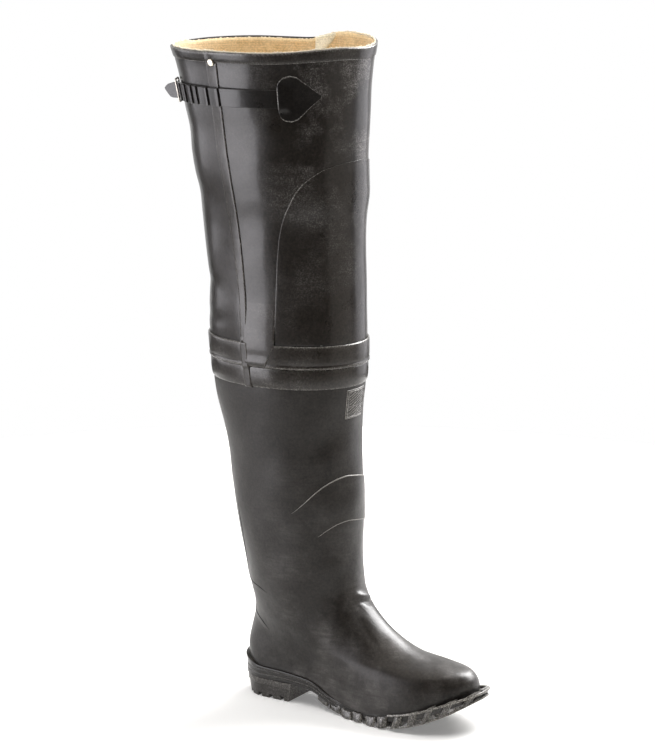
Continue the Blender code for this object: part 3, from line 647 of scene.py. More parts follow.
# Raw edge of the lining: cream threads that stand a little above the rubber.
EDGE_AROUND = 720
RAW_SECTION = [(-6.0, 2.75), (-2.0, 2.8), (-0.2, 2.7), (0.0, 2.2),
               (-0.2, 1.75), (-2.0, 1.7), (-6.0, 1.75)]
FRAY = 0.35
LOOSE_THREAD = 1.5
LOOSE_FROM = 0.93
EDGE_STAND = 1.0
EDGE_TURNED_IN = 3.2
rng = np.random.default_rng(7)
u = full_turn(EDGE_AROUND)
fray = rng.normal(0, FRAY, EDGE_AROUND) + LOOSE_THREAD * (rng.random(EDGE_AROUND) > LOOSE_FROM)
fray = np.convolve(np.tile(fray, 3), [0.2, 0.6, 0.2], "same")[EDGE_AROUND:2 * EDGE_AROUND]
edge_top = EDGE_STAND - EDGE_TURNED_IN * far_side(np.degrees(u)) + fray
edge_rows = []
for drop, inset in RAW_SECTION:
    ring = skin(u, BOOT_HEIGHT, -inset)
    ring[:, 2] += drop + edge_top
    edge_rows.append(ring)
edge_canvas = woven_canvas("raw_edge_canvas", (0.86, 0.76, 0.56), 160, (0.90, 0.85, 0.74))
raw_edge = ring_piece("lining_raw_edge", edge_rows, edge_canvas, outward=True)
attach(raw_edge, "root")

# Lapped end of the lining: its cloth ends on the inner front, one edge turned out.
# Its pale cream is a painted highlight, standing in for light on the fold.
LAP_START = 268.0
LAP_NARROW = 3.5
LAP_WIDE = 16.0
LAP_SLANT = 0.62
LAP_LOW = 480.0
LAP_HIGH = 776.5
LAP_RISE = 1.4
LAP_BACK = 2.3
lap_h = np.concatenate([np.linspace(LAP_LOW, 750, 60), np.linspace(751, LAP_HIGH, 26)])[:, None]
lap_share = np.linspace(0, 1, 22)
lap_width = np.maximum(LAP_WIDE - (LAP_HIGH - lap_h) * LAP_SLANT, LAP_NARROW)
lap_depth = SHAFT_WALL + LINING_GAP + LINING_THICK + 0.05
lap_depth = lap_depth + LAP_RISE * np.sin(math.pi * lap_share) ** 0.6
# Pale cream here is painted highlight, lighter than the cloth itself.
lap_highlight_canvas = woven_canvas("lapped_end_painted_highlight", (0.97, 0.92, 0.72), 160, (0.98, 0.96, 0.84))
lining_lap = sheet("lining_lapped_end", LAP_START + lap_width * lap_share, lap_h,
                   -lap_depth, -LAP_BACK, lap_highlight_canvas)
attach(lining_lap, "root")


# Insole: a thin bed with a canvas top, cut to the inside of the foot.
# It lies loose on the sole plate.
INSOLE_THICK = 3.5
INSOLE_INSET = 3.6
INSOLE_COUNT = 160
INSOLE_CROWN = 0.3
INSOLE_GAP = 0.3


def sole_seat(x):
    return smooth(SOLE, "seat", x)


def closed_stack(rows, count):
    """Faces of a stack of rings, its first and last closed by strips from side to side."""
    faces = [list(face) for face in grid_faces(rows, count, False)]
    for first in (0, (rows - 1) * count):
        for i in range(count // 2):
            strip = dict.fromkeys((i, i + 1, count - i - 1, (count - i) % count))
            faces.append([first + k for k in strip])
    return faces


def outward_of(plan):
    """Unit vectors in plan, square to a loop of points that runs round the foot."""
    run = unit(np.roll(plan, -1, 0) - np.roll(plan, 1, 0))
    return -np.stack([run[:, 1], -run[:, 0]], -1)


feather = body(full_turn(INSOLE_COUNT), 40.0)[:, :2]
rim = feather - outward_of(feather) * INSOLE_INSET
spine = np.column_stack([rim[:, 0], toe_lean(rim[:, 0])])
bed_rows = []
crown = INSOLE_THICK + INSOLE_CROWN
for share, lift in ((0.5, INSOLE_GAP), (1.0, INSOLE_GAP), (1.0, INSOLE_THICK - 0.6),
                    (0.985, INSOLE_THICK), (0.75, crown), (0.5, crown), (0.25, crown)):
    plan = spine + (rim - spine) * share
    bed_rows.append(np.column_stack([plan, sole_seat(plan[:, 0]) + lift]))
insole = make_piece("insole_bed", np.array(bed_rows), closed_stack(len(bed_rows), INSOLE_COUNT),
                    lining_canvas, outward=True, crisp=50)
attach(insole, "root")
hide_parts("insole")


# Thigh shaft: a thinner, softer tube of rubber-coated canvas, butted on the leg.
# It stands by itself with slow swells and a few soft folds above the knee.
KNEE_FOLDS = [
    [(100, 470), (125, 462), (150, 466), (180, 472), (210, 462)],
    [(112, 500), (140, 508), (170, 502), (200, 508)],
]
SHAFT_RIPPLE = 0.55
SHAFT_RIPPLE_IN = (444, 490)
SHAFT_RIPPLE_OUT = (735, 762)
KNEE_FOLD_DEPTH = 1.0
KNEE_FOLD_WIDTH = 9
SHAFT_FOOT = KNEE_JOINT + 0.3


def shaft_relief(u, z):
    """Height of the swells and folds on the thigh's face, in millimetres."""
    swell = ripple(u, z, SHAFT_RIPPLE)
    out = swell * ease(z, *SHAFT_RIPPLE_IN) * (1 - ease(z, *SHAFT_RIPPLE_OUT))
    for line in KNEE_FOLDS:
        out = out - crease(u % 360, z, line, KNEE_FOLD_DEPTH, KNEE_FOLD_WIDTH, (0.3, 0.3))
    return out


shaft_rows = wall_rows(np.linspace(SHAFT_FOOT, BOOT_HEIGHT, 280), shaft_relief, SHAFT_WALL,
                       np.linspace(SHAFT_FOOT, BOOT_HEIGHT, 40))
thigh_rubber = cured_rubber("thigh_rubber", (0.0185, 0.0148, 0.0120), 0.33, 0.60,
                            dust_and_sheen_reach=(0.52, 0.70, 0.02, 0.12))
thigh_shaft = ring_piece("thigh_shaft_wall", shaft_rows, thigh_rubber)
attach(thigh_shaft, "root")
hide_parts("thigh_shaft")


# Knee bands: two strips of calendered rubber cemented round the joint of leg and thigh.
# The upper one is the thicker and carries a bead along its lower edge.
KNEE_BAND = [
    (416.0, 0.3), (415.9, 1.6), (416.2, 2.5), (417.0, 3.0), (418.6, 3.0), (419.4, 2.5),
    (420.2, 2.3), (421.2, 2.5), (424.0, 2.8), (432.0, 2.9), (440.6, 2.8), (442.2, 2.5),
    (443.0, 1.9), (443.0, 0.3),
]
LOWER_BAND = [
    (392.0, 0.3), (392.0, 0.6), (392.6, 0.95), (394, 1.35), (396.5, 1.7), (400, 1.9),
    (404, 1.9), (409, 1.75), (414.0, 1.55), (415.2, 1.3), (415.6, 0.9), (415.6, 0.3),
]


def band_rows(section):
    return [skin(full_turn(AROUND), height, lift) for height, lift in section]


# Edges lightened: partly wear, partly painted highlight.
trim_rubber = cured_rubber("trim_rubber", (0.0245, 0.0200, 0.0162), 0.30, 0.10, worn=0.6)
knee_band = ring_piece("knee_band_strip", band_rows(KNEE_BAND), trim_rubber)
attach(knee_band, "root")
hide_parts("knee_band")
lower_band = ring_piece("lower_knee_band_strip", band_rows(LOWER_BAND), trim_rubber)
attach(lower_band, "root")
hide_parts("lower_knee_band")


# Thigh panel: a second layer of rubber sheet over the front of the thigh, cut to an arch.
# Its rolled edge shows as a fine line.
THIGH_PANEL = table(
    "z reach",
    (443.4, 73), (456, 72.5), (500, 71.4), (542, 68.6), (570, 66.2), (584, 64.2), (598, 61.3),
    (612, 57.3), (621, 53.6), (630, 48.8), (638, 42.5), (645.7, 34), (651, 22), (653, 13), (654, 1),
)
PANEL_SIDE = 0.35
PANEL_ARCH = 0.9
PANEL_CROWD = 1.5
PANEL_UNDER = 0.12
ARCH_HEIGHTS = (575, 640)


def straight(rows, name, at):
    """Straight lines through the column `name`, along the first column."""
    return np.interp(at, [row[0] for row in rows], [getattr(row, name) for row in rows])


def heights_of(rows, shares):
    return rows[0].z + (rows[-1].z - rows[0].z) * shares[:, None]


rise = even_with_border(150, 0.004)
panel_h = heights_of(THIGH_PANEL, 1 - (1 - rise) ** PANEL_CROWD)
panel_u = straight(THIGH_PANEL, "reach", panel_h) * (even_with_border(130, 0.003) * 2 - 1)
panel_h = panel_h + 0 * panel_u
thick = PANEL_SIDE + (PANEL_ARCH - PANEL_SIDE) * ease(panel_h, *ARCH_HEIGHTS)
thick = border_rise(panel_u.shape, (0.25, 0.75, 1.0)) * thick
under = shaft_relief(panel_u, panel_h)
# Its edges are lightened: partly wear, partly painted highlight along the edge line.
panel_rubber = cured_rubber("panel_rubber", (0.0185, 0.0148, 0.0120), 0.33, 0.34,
                            dust_and_sheen_reach=(0.40, 0.80, -0.01, 0.11), worn=1.8)
thigh_panel = sheet("thigh_panel_sheet", panel_u, panel_h, under + thick, under + PANEL_UNDER,
                    panel_rubber)
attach(thigh_panel, "root")
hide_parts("thigh_panel")


# Seam cover: a scrap of thin sheet rolled over the upper band between the panel's edge
# and the side seam, so the band's top edge runs out of sight there.
SEAM_COVER = table(
    "z front lift",
    (416.4, 80.5, 2.9), (417.2, 80.3, 3.2), (430, 76.5, 3.2), (440, 73.6, 3.15),
    (443.2, 72.9, 2.9), (448, 72.4, 2.45), (456, 72.3, 1.75), (468, 72, 0.95),
    (482, 71.8, 0.4), (496, 71.5, 0.1),
)
COVER_BACK = 96.0
COVER_THICK = 0.55
COVER_SUNK = 0.2
COVER_UNDER = 0.8
COVER_THINS = (450, 490)


def thigh_under(u, h):
    """Relief of the thigh shaft under a piece that also reaches below it."""
    return np.where(h < KNEE_JOINT, 0, shaft_relief(u, h))


cover_h = heights_of(SEAM_COVER, even_with_border(70, 0.008))
front = straight(SEAM_COVER, "front", cover_h)
cover_u = front + (COVER_BACK - front) * even_with_border(40, 0.012)
cover_h = cover_h + 0 * cover_u
base = smooth(SEAM_COVER, "lift", cover_h) + thigh_under(cover_u, cover_h)
thick = border_rise(cover_u.shape, (0.2, 0.8, 1.0)) * COVER_THICK
thick = thick * (1 - ease(cover_h, *COVER_THINS))
seam_cover = sheet("side_seam_cover", cover_u, cover_h,
                   base + thick - COVER_SUNK, base - COVER_UNDER, trim_rubber)
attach(seam_cover, "root")


# Side seam tape: a narrow rubber tape over the seam on the outer side, rolled down over
# both knee bands, where a second short length covers its end.
SEAM_TAPE = table(
    "z middle width lift",
    (390.5, 46, 9, 0.3), (391.6, 46, 9, 1.75), (402, 44.7, 9, 1.85), (412.6, 43.4, 9, 1.85),
    (415.4, 43.0, 9, 3.1), (428, 41.9, 9, 3.1), (442.6, 40.7, 9, 3.05), (445.6, 40.5, 9, 0.9),
    (449, 40.2, 9, 0.35), (455, 39.8, 9, 0.35), (492, 38.5, 9.5, 0.35), (528, 35, 11, 0.35),
    (570, 30.2, 13, 0.35), (602, 26.7, 13.5, 0.35), (637, 22, 14, 0.35), (677, 16.8, 15, 0.35),
    (720, 14.2, 15, 0.35), (765.3, 11.5, 15, 0.35),
)
TAPE_THICK = 1.0
TAPE_UNDER = 0.2
TAPE_ACROSS = np.array([1, 0.97, 0.9, 0.6, 0.2, -0.2, -0.6, -0.9, -0.97, -1])


def angle_at(x, z):
    """Lateral angle, in degrees, of the leg ring at height z whose point lies at x."""
    back = smooth(LEG, "back", z)
    front = smooth(LEG, "front", z)
    return np.degrees(np.arccos(np.clip(2 * (x - back) / (front - back) - 1, -1, 1)))


tape_h = np.concatenate([np.linspace(390.5, 452, 90), np.linspace(453, 765.3, 200)])[:, None]
half_width = straight(SEAM_TAPE, "width", tape_h) / 2
tape_u = angle_at(smooth(SEAM_TAPE, "middle", tape_h) + half_width * TAPE_ACROSS, tape_h)
tape_h = tape_h + 0 * tape_u
base = straight(SEAM_TAPE, "lift", tape_h) + thigh_under(tape_u, tape_h)
thick = border_rise(tape_u.shape, (0.3, 0.8, 1.0)) * TAPE_THICK
seam_tape = sheet("side_seam_tape_strip", tape_u, tape_h, base + thick, base - TAPE_UNDER,
                  trim_rubber)
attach(seam_tape, "root")
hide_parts("side_seam_tape")


# Collar binding: a thin rubber tape folded round the top edge and cemented down.
# Its ends are lapped at the side seam.
COLLAR_BINDING = [
    (765.5, 0.2), (765.4, 0.6), (765.6, 0.95), (766.2, 1.1), (770, 1.15), (774, 1.15), (776.4, 1.1),
    (776.9, 0.8), (777.0, 0.3), (776.9, -1.2), (776.0, -1.5), (770, -1.5), (769.5, -0.2),
]
BINDING_AROUND = 360
BINDING_LAP = 0.7
LAP_FROM = (102.4, 103.2)
LAP_TO = (120, 150)
u = full_turn(BINDING_AROUND)
over = ease(np.degrees(u), *LAP_FROM) * (1 - ease(np.degrees(u), *LAP_TO)) * BINDING_LAP
binding_rows = [
    skin(u, height, lift + over * (lift > 0.5)) for height, lift in COLLAR_BINDING
]
binding = ring_piece("collar_binding_tape", binding_rows, trim_rubber, outward=True)
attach(binding, "root")
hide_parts("collar_binding")


# Collar rivet: a small domed brass head at the top of the side seam.
# It clinches binding and seam together.
RIVET_ANGLE = 99.5
RIVET_LEVEL = 765.3
RIVET_RADIUS = 4.1
RIVET_LIFT = 2.3
RIVET_SECTION = [(0.12, 1.5), (0.3, 1.48), (0.6, 1.35), (0.85, 1.05),
                 (0.97, 0.6), (1.0, 0.1), (1.0, -1.2)]


def plain_metal(name, colour, roughness):
    finish, tree, shader, place = new_finish(name)
    shader.inputs["Metallic"].default_value = 1.0
    worn = noise(tree, place, 420, 5)
    dull = spread(tree, worn, 0.35, 0.7, roughness - 0.08, roughness + 0.15)
    tree.links.new(dull, shader.inputs["Roughness"])
    stain = spread(tree, worn, 0.55, 0.75, 0.0, 0.8)
    tint = blend(tree, stain, colour, scaled(colour, 0.6))
    tree.links.new(tint, shader.inputs["Base Color"])
    return finish


def leg_axes(angle, height):
    """Tangent round the leg, upward line and outward normal at an angle and height."""
    u = math.radians(angle)
    tangent = unit(body(u + SMALL_TURN, height) - body(u - SMALL_TURN, height))
    upward = unit(body(u, height + 10) - body(u, height - 10))
    return tangent, upward, np.cross(upward, tangent)


turn = full_turn(28)
rivet_seat = skin(math.radians(RIVET_ANGLE), RIVET_LEVEL, RIVET_LIFT)
tangent, upward, outward = leg_axes(RIVET_ANGLE, RIVET_LEVEL - 10)
circle = np.cos(turn)[:, None] * tangent + np.sin(turn)[:, None] * upward
rivet_rows = [
    rivet_seat + circle * radius * RIVET_RADIUS + outward * height
    for radius, height in RIVET_SECTION
]
rivet_brass = plain_metal("rivet_brass", (0.90, 0.84, 0.70), 0.40)
rivet = make_piece("collar_rivet_head", np.array(rivet_rows),
                   closed_stack(len(rivet_rows), len(turn)), rivet_brass, outward=True)
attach(rivet, "root")
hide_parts("collar_rivet")


# Strap tab: a spade-shaped patch of thin rubber, cemented on to anchor the strap.
# Its cut edge is lightened, partly scuffed pale and partly painted highlight.
STRAP_TAB = table(
    "angle low high",
    (33.2, 728.6, 729.9), (37, 723.3, 734.6), (41, 717.3, 740.2), (45, 710.5, 745.5),
    (49, 704, 751), (53, 701.1, 752.6), (57, 702, 750.5), (59.2, 705, 746.6),
    (60.2, 708.5, 743.2), (60.7, 713, 739),
)
STRAP_LEVEL = 726.6
TAB_LIFT = 0.15
TAB_OVER = 1.3
TAB_UNDER = 0.05
OVER_ANGLES = (51, 56)
OVER_LEVELS = (7.0, 18.0)
tab_u, tab_h = between(STRAP_TAB, straight, np.linspace(33.2, 60.7, 90), even_with_border(40, 0.02))
beside = ease(np.abs(tab_h - STRAP_LEVEL), *OVER_LEVELS)
over_strap = ease(tab_u, *OVER_ANGLES) * (1 - beside)
thick = border_rise(tab_u.shape, (0.4, 0.9, 1.1)) + TAB_LIFT
under = shaft_relief(tab_u, tab_h)
strap_rubber = cured_rubber("strap_rubber", (0.0120, 0.0101, 0.0088), 0.31, 0.03)
tab_rubber = cured_rubber("tab_rubber", (0.0120, 0.0101, 0.0088), 0.33, 0.03, worn=1.7)
strap_tab = sheet("strap_tab_patch", tab_u, tab_h, under + thick + TAB_OVER * over_strap,
                  under + TAB_UNDER + (TAB_OVER - 0.1) * over_strap, tab_rubber)
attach(strap_tab, "root")
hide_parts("strap_tab")


# Strap: a moulded rubber tape with raised stop blocks, laid back from the tab through the
# buckle; its pointed end stands free of the leg.
STRAP_HALF = 10.3
STRAP_LIFT = 1.7
STRAP_THICK = 2.0
STRAP_SUNK = 0.1
STRAP_THIN = 1.1
STRAP_LEAVES = (66, 92)
BLOCK_GAPS = [96.0, 104.5, 113.5, 119.0, 126.5, 135.0, 142.0]
BLOCK_HALF_GAP = 0.55
BLOCK_FRONT = 2.2
BLOCK_BACK = 1.2
BEND_ANGLE = 147.0
BEND_RADIUS = 4.0
STRAP_TIP = table(
    "run half drop",
    (1.5, 9.5, 0), (5, 9.2, 0), (8.5, 8.6, 0), (10.5, 8.2, 0.2), (12.5, 7.4, 0.5),
    (15, 4.8, 1.8), (17.2, 2.2, 3.0), (18, 0.8, 3.5),
)
TIP_TURN = 52
CORNER = 0.35


def strap_section(low_in, low_out, high_out, high_in):
    """Rounded section of the strap from its four corners."""
    corners = [np.asarray(p, float) for p in (low_in, low_out, high_out, high_in)]
    loop = []
    for i, corner in enumerate(corners):
        for other in (corners[i - 1], corners[(i + 1) % 4]):
            run = other - corner
            length = np.linalg.norm(run)
            loop.append(corner + run / length * min(CORNER, length / 3))
    return loop


strap_stations = [(angle, 0.0) for angle in np.linspace(55.5, 95.2, 30)]
for front, back in zip(BLOCK_GAPS[:-1], BLOCK_GAPS[1:]):
    start = front + BLOCK_HALF_GAP
    end = back - BLOCK_HALF_GAP
    strap_stations += [(start, 0.0), (start + 0.12, BLOCK_FRONT - 0.3), (start + 0.4, BLOCK_FRONT)]
    for k in (0.4, 0.7):
        strap_stations.append((start + (end - start) * k,
                               BLOCK_FRONT + (BLOCK_BACK - BLOCK_FRONT) * k))
    strap_stations += [(end - 0.4, BLOCK_BACK), (end - 0.12, BLOCK_BACK - 0.3), (end, 0.0)]
strap_stations += [(BEND_ANGLE - 2.5, 0.0), (BEND_ANGLE, 0.0)]
strap_loops = []
for angle, rise in strap_stations:
    off = ease(angle, *STRAP_LEAVES)
    inner = float(shaft_relief(angle, STRAP_LEVEL)) + STRAP_SUNK + (STRAP_LIFT - STRAP_SUNK) * off
    outer = inner + STRAP_THIN + (STRAP_THICK - STRAP_THIN) * off + rise
    strap_loops.append(strap_section(*[
        skin(math.radians(angle), STRAP_LEVEL + level, lift)
        for level, lift in ((-STRAP_HALF, inner), (-STRAP_HALF, outer),
                            (STRAP_HALF, outer), (STRAP_HALF, inner))
    ]))
tangent, upward, outward = leg_axes(BEND_ANGLE, STRAP_LEVEL)
bend_start = skin(math.radians(BEND_ANGLE), STRAP_LEVEL, STRAP_LIFT + STRAP_THICK / 2)


def strap_end(turn, run, half, drop):
    """Section of the strap after the bend, `run` past it, turned from the leg."""
    c, s = math.cos(math.radians(turn)), math.sin(math.radians(turn))
    centre = (
        bend_start
        + tangent * (BEND_RADIUS * s + run * c)
        + outward * (BEND_RADIUS * (1 - c) + run * s)
        + upward * drop
    )
    thick = (outward * c - tangent * s) * STRAP_THICK / 2
    rise = upward * half
    return strap_section(centre - thick - rise, centre + thick - rise,
                         centre + thick + rise, centre - thick + rise)


for turn in (10, 20, 30, 40, 48):
    strap_loops.append(strap_end(turn, 0, STRAP_HALF - turn * 0.01, 0))
for row in STRAP_TIP:
    strap_loops.append(strap_end(TIP_TURN, *row))
strap = make_piece("ladder_strap", np.array(strap_loops), capped_stack(len(strap_loops), 8),
                   strap_rubber, outward=True, crisp=38)
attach(strap, "root")
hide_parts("strap")


# Buckle: a frame bent from round steel wire, its corners rounded.
# Its front bar lies over the strap and its back bar on the leg.
WIRE_RADIUS = 1.15
BUCKLE_HALF = 12.9
BUCKLE_CORNER = 2.4
BUCKLE_FRONT = 145.2
BUCKLE_BACK = 153.5
FRONT_LIFT = 5.3
BACK_LIFT = 2.0
corners = [
    skin(math.radians(angle), STRAP_LEVEL + level, lift)
    for angle, level, lift in (
        (BUCKLE_FRONT, -BUCKLE_HALF, FRONT_LIFT), (BUCKLE_FRONT, BUCKLE_HALF, FRONT_LIFT),
        (BUCKLE_BACK, BUCKLE_HALF, BACK_LIFT), (BUCKLE_BACK, -BUCKLE_HALF, BACK_LIFT))
]
wire_path = []
for i, corner in enumerate(corners):
    start = corner + unit(corners[i - 1] - corner) * BUCKLE_CORNER
    end = corner + unit(corners[(i + 1) % 4] - corner) * BUCKLE_CORNER
    for t in (0, 0.25, 0.5, 0.75, 1):
        wire_path.append((1 - t) ** 2 * start + 2 * t * (1 - t) * corner + t * t * end)
wire_path = np.array(wire_path)
run = unit(np.roll(wire_path, -1, 0) - np.roll(wire_path, 1, 0))
plane = unit(np.cross(corners[1] - corners[0], corners[2] - corners[1]))
side = np.cross(run, plane)
turn = full_turn(14)[:, None]
wire_rows = wire_path[:, None] + WIRE_RADIUS * (np.cos(turn) * side[:, None] + np.sin(turn) * plane)
buckle_steel = plain_metal("buckle_steel", (0.46, 0.43, 0.38), 0.34)
buckle = ring_piece("buckle_wire", wire_rows, buckle_steel, outward=True)
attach(buckle, "root")
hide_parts("buckle_frame")


# Shin label: a thin moulded rubber patch, cemented on under the knee bands.
# It has a plain frame, a bar across and slanted ribs, their edges lightened: partly rubbed
# pale, partly painted highlight.
LABEL_REACH = 13.5
LABEL_LOW = 353.0
LABEL_HIGH = 388.0
LABEL_WIDE = 33
LABEL_TALL = 35
LABEL_RELIEF = 0.5
RIB_PITCH = 3.4
across = even_with_border(90, 0.02)
rise = even_with_border(110, 0.018)[:, None]
label_u = (across * 2 - 1) * LABEL_REACH + 0 * rise
label_h = LABEL_LOW + (LABEL_HIGH - LABEL_LOW) * rise + 0 * across
inset = np.minimum(np.minimum(across, 1 - across) * LABEL_WIDE,
                   np.minimum(rise, 1 - rise) * LABEL_TALL)
inside = ease(inset, 1.2, 1.7)
middle_bar = bell((rise - 0.42) * LABEL_TALL, 0.7)
slanted = np.sin((rise * LABEL_TALL + across * LABEL_WIDE * 0.5) * 2 * math.pi / RIB_PITCH)
ribs = ease(slanted, 0.1, 0.7) * ease(inset, 3.6, 4.2) * (1 - middle_bar)
thick = border_rise(label_u.shape, (0.2, 0.5, 0.6))
thick = thick + LABEL_RELIEF * inside * (1 - ease(inset, 2.4, 2.9))
thick = thick + LABEL_RELIEF * np.maximum(ribs, middle_bar * inside)
under = upper_relief(label_u, label_h)
label_rubber = cured_rubber("label_rubber", (0.050, 0.046, 0.041), 0.36, 0.3, worn=4.0)
shin_label = sheet("shin_label_patch", label_u, label_h, under + thick, under + 0.05, label_rubber)
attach(shin_label, "root")
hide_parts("shin_label")


# Outsole: a moulded plate with three ribs round heel and waist and a lugged forefoot,
# vulcanised to the upper; lugs along its edge stand out and down, with bars between them.
SOLE_AROUND = 420
LIP_LOW = 0.5
LIP_BACK = 9.0
LIP_REACH = 34.0
SPUR_OUT = 1.8
SPUR_REACH = 24.0
LIP_ROOT = 3.6
RIB_OUT = 0.7
RIB_DEEP = 0.5
RIB_END = 128.0
RIB_FADE = 36.0
FORE_RECESS = 2.4
RIB_EDGES = [(0.10, 0), (0.15, 1), (0.24, 1), (0.29, 0), (0.48, 0), (0.53, 1), (0.62, 1), (0.67, 0)]


def sole_under(x):
    return sole_seat(x) - smooth(SOLE, "plate", x)


def sole_tread(x):
    return np.maximum(smooth(SOLE, "tread", x), 0)


def sole_loop(out, z):
    """Loop round the sole edge at the heights z, moved outward by `out`."""
    u = full_turn(SOLE_AROUND)
    x = FOOT_LENGTH / 2 * (1 + np.cos(u))
    side = np.where(np.sin(u) < -1e-9, 1.0, -1.0)
    plan = np.stack([x, side * half_sole(x, side) + toe_lean(x)], -1)
    out = out * np.ones(SOLE_AROUND)
    return np.column_stack([plan + outward_of(plan) * out[:, None], z])


plan = sole_loop(0, np.zeros(SOLE_AROUND))[:, :2]
edge_x = plan[:, 0]
middle_line = np.column_stack([edge_x, toe_lean(edge_x)])
seat = sole_seat(edge_x)
under = sole_under(edge_x)
lip = LIP_LOW + LIP_BACK * np.clip(1 - edge_x / LIP_REACH, 0, 1) ** 1.5
spur = SPUR_OUT * (1 - ease(edge_x, 0, SPUR_REACH))
fore = ease(edge_x, RIB_END, RIB_END + RIB_FADE)
side_out = RIB_OUT - (RIB_OUT + FORE_RECESS) * fore
lip_out = side_out + spur
sole_rows = [np.column_stack([(middle_line + plan) / 2, seat]), sole_loop(-LIP_ROOT, seat)]
for out, rise in ((-LIP_ROOT, lip + 1.0), (lip_out - 1.0, lip + 0.1), (lip_out - 0.3, lip - 0.1),
                  (lip_out, lip - 0.6), (lip_out - spur * 0.5, lip * 0.5 - 0.6)):
    sole_rows.append(sole_loop(out, seat + rise))
for part, groove in RIB_EDGES:
    sole_rows.append(sole_loop(side_out - groove * RIB_DEEP * (1 - fore),
                               seat + (under - seat) * part))
sole_rows += [sole_loop(side_out, under + 0.8), sole_loop(side_out - 0.8, under)]
for share in (0.75, 0.5, 0.25):
    sole_rows.append(np.column_stack([middle_line + (plan - middle_line) * share, under]))
sole_points = np.array(sole_rows).reshape(-1, 3)
sole_faces = closed_stack(len(sole_rows), SOLE_AROUND)

# Each edge lug is one rounded knob, now and then with a small one beside it: start and end
# along it, bulge and rise over the seat. At the toe they narrow to walls between two rails.
LUG_KNOBS = table("start end out rise", (-0.12, 1.10, 4.2, -0.6), (1.16, 1.44, 1.6, -6.0))
LUG_FIRST = 120.0
LUG_PITCH = 18.0
LUG_LENGTH = 11.5
LUG_ROWS = 11
LUG_DEPTH = 17.0
LUG_MIDDLE = 1.0
LUG_LEAN = 6.0
LEAN_FROM = 200.0
LEAN_OVER = 60.0
LUG_ROUND = 2.4
LUG_TAPER = 4.2
TOE_DRAW_IN = 1.6
TOE_RISE = 4.0
BLADE_NARROW = 0.36
END_WEAR = (-0.14, 0.10)
OUT_WEAR = (-1.2, 0.9)
SHIFT_WEAR = (-1.5, 1.5)
TREAD_WEAR = (0, 1.2)
HEAD_WEAR = (-2.2, 0.6)
BAR_SPLAY = 5.0
BAR_GAP = 4.0
BAR_ROOT = 2.0
RAIL_FROM = 222.0
RAIL_HALF = 1.5


def rounded_block(bottom, top, width):
    """Block between two plans, its edges rounded; gives its points and faces."""
    shape = bmesh.new()
    low = [shape.verts.new(p) for p in bottom]
    high = [shape.verts.new(p) for p in top]
    n = len(low)
    shape.faces.new(low)
    shape.faces.new(high)
    for i in range(n):
        shape.faces.new((low[i], low[(i + 1) % n], high[(i + 1) % n], high[i]))
    bmesh.ops.recalc_face_normals(shape, faces=shape.faces)
    bmesh.ops.bevel(shape, geom=list(shape.edges), offset=width, segments=2, profile=0.5,
                    affect="EDGES", clamp_overlap=True)
    shape.verts.index_update()
    points = np.array([v.co[:] for v in shape.verts])
    faces = [[v.index for v in face.verts] for face in shape.faces]
    shape.free()
    return points, faces


def lug_plan(xs, side, out):
    reach = half_sole(xs, np.full(len(xs), side))
    bulge = np.sin(np.linspace(0.25, math.pi - 0.25, len(xs))) * out
    rim = side * (reach + bulge) + toe_lean(xs)
    root = side * np.maximum(reach - LUG_DEPTH, LUG_MIDDLE) + toe_lean(xs)
    return np.array(list(zip(xs, rim)) + list(zip(xs[::-1], root[::-1])))


def on_plan(plan, level, rise):
    """Points over a plan, `rise` above a level of the sole."""
    return np.column_stack([plan, level(plan[:, 0]) + rise])


def bar_plan(x):
    """Plan of a tread bar across the sole, its ends swept back."""
    shift = float(toe_lean(np.array(x)))
    ends = [shift + side * (float(half_sole(np.array(x), side)) - LUG_DEPTH - BAR_GAP)
            for side in (-1, 1)]
    front = [(x - BAR_SPLAY, ends[0]), (x, shift), (x - BAR_SPLAY, ends[1])]
    return np.array(front + [(x + LUG_LENGTH, y) for x, y in front[::-1]])


wear = np.random.default_rng(11)
for row in range(LUG_ROWS):
    x0 = LUG_FIRST + row * LUG_PITCH
    slant = float(np.clip((x0 - LEAN_FROM) / LEAN_OVER, 0, 1))
    bulge = 0.3 + 0.7 * float(ease(x0, 115, 175))
    for side in (-1, 1):
        for knob in LUG_KNOBS if slant < 0.3 else LUG_KNOBS[:1]:
            start = knob.start + BLADE_NARROW * slant + wear.uniform(*END_WEAR)
            end = knob.end - BLADE_NARROW * slant + wear.uniform(*END_WEAR)
            xs = x0 + LUG_LENGTH * np.linspace(start, end, 5)
            out = knob.out * bulge - TOE_DRAW_IN * slant + wear.uniform(*OUT_WEAR)
            plan = lug_plan(xs + wear.uniform(*SHIFT_WEAR), side, out)
            foot = on_plan(plan, sole_tread, wear.uniform(*TREAD_WEAR))
            xs = np.minimum(xs + LUG_LEAN * slant, FOOT_LENGTH - 0.5)
            plan = lug_plan(xs, side, out - LUG_TAPER * (1 - slant))
            rise = knob.rise + TOE_RISE * slant + wear.uniform(*HEAD_WEAR)
            block = rounded_block(foot, on_plan(plan, sole_seat, rise), LUG_ROUND)
            sole_points = add_block(sole_points, sole_faces, *block)
    if row < LUG_ROWS - 1:
        plan = bar_plan(x0 + LUG_PITCH / 2)
        block = rounded_block(on_plan(plan, sole_tread, 0), on_plan(plan, sole_under, BAR_ROOT),
                              LUG_ROUND)
        sole_points = add_block(sole_points, sole_faces, *block)
half_way = SOLE_AROUND // 2 + 1
round_toe = np.roll(np.arange(SOLE_AROUND), -half_way)
round_toe = round_toe[edge_x[round_toe] > RAIL_FROM]
turn = full_turn(8)
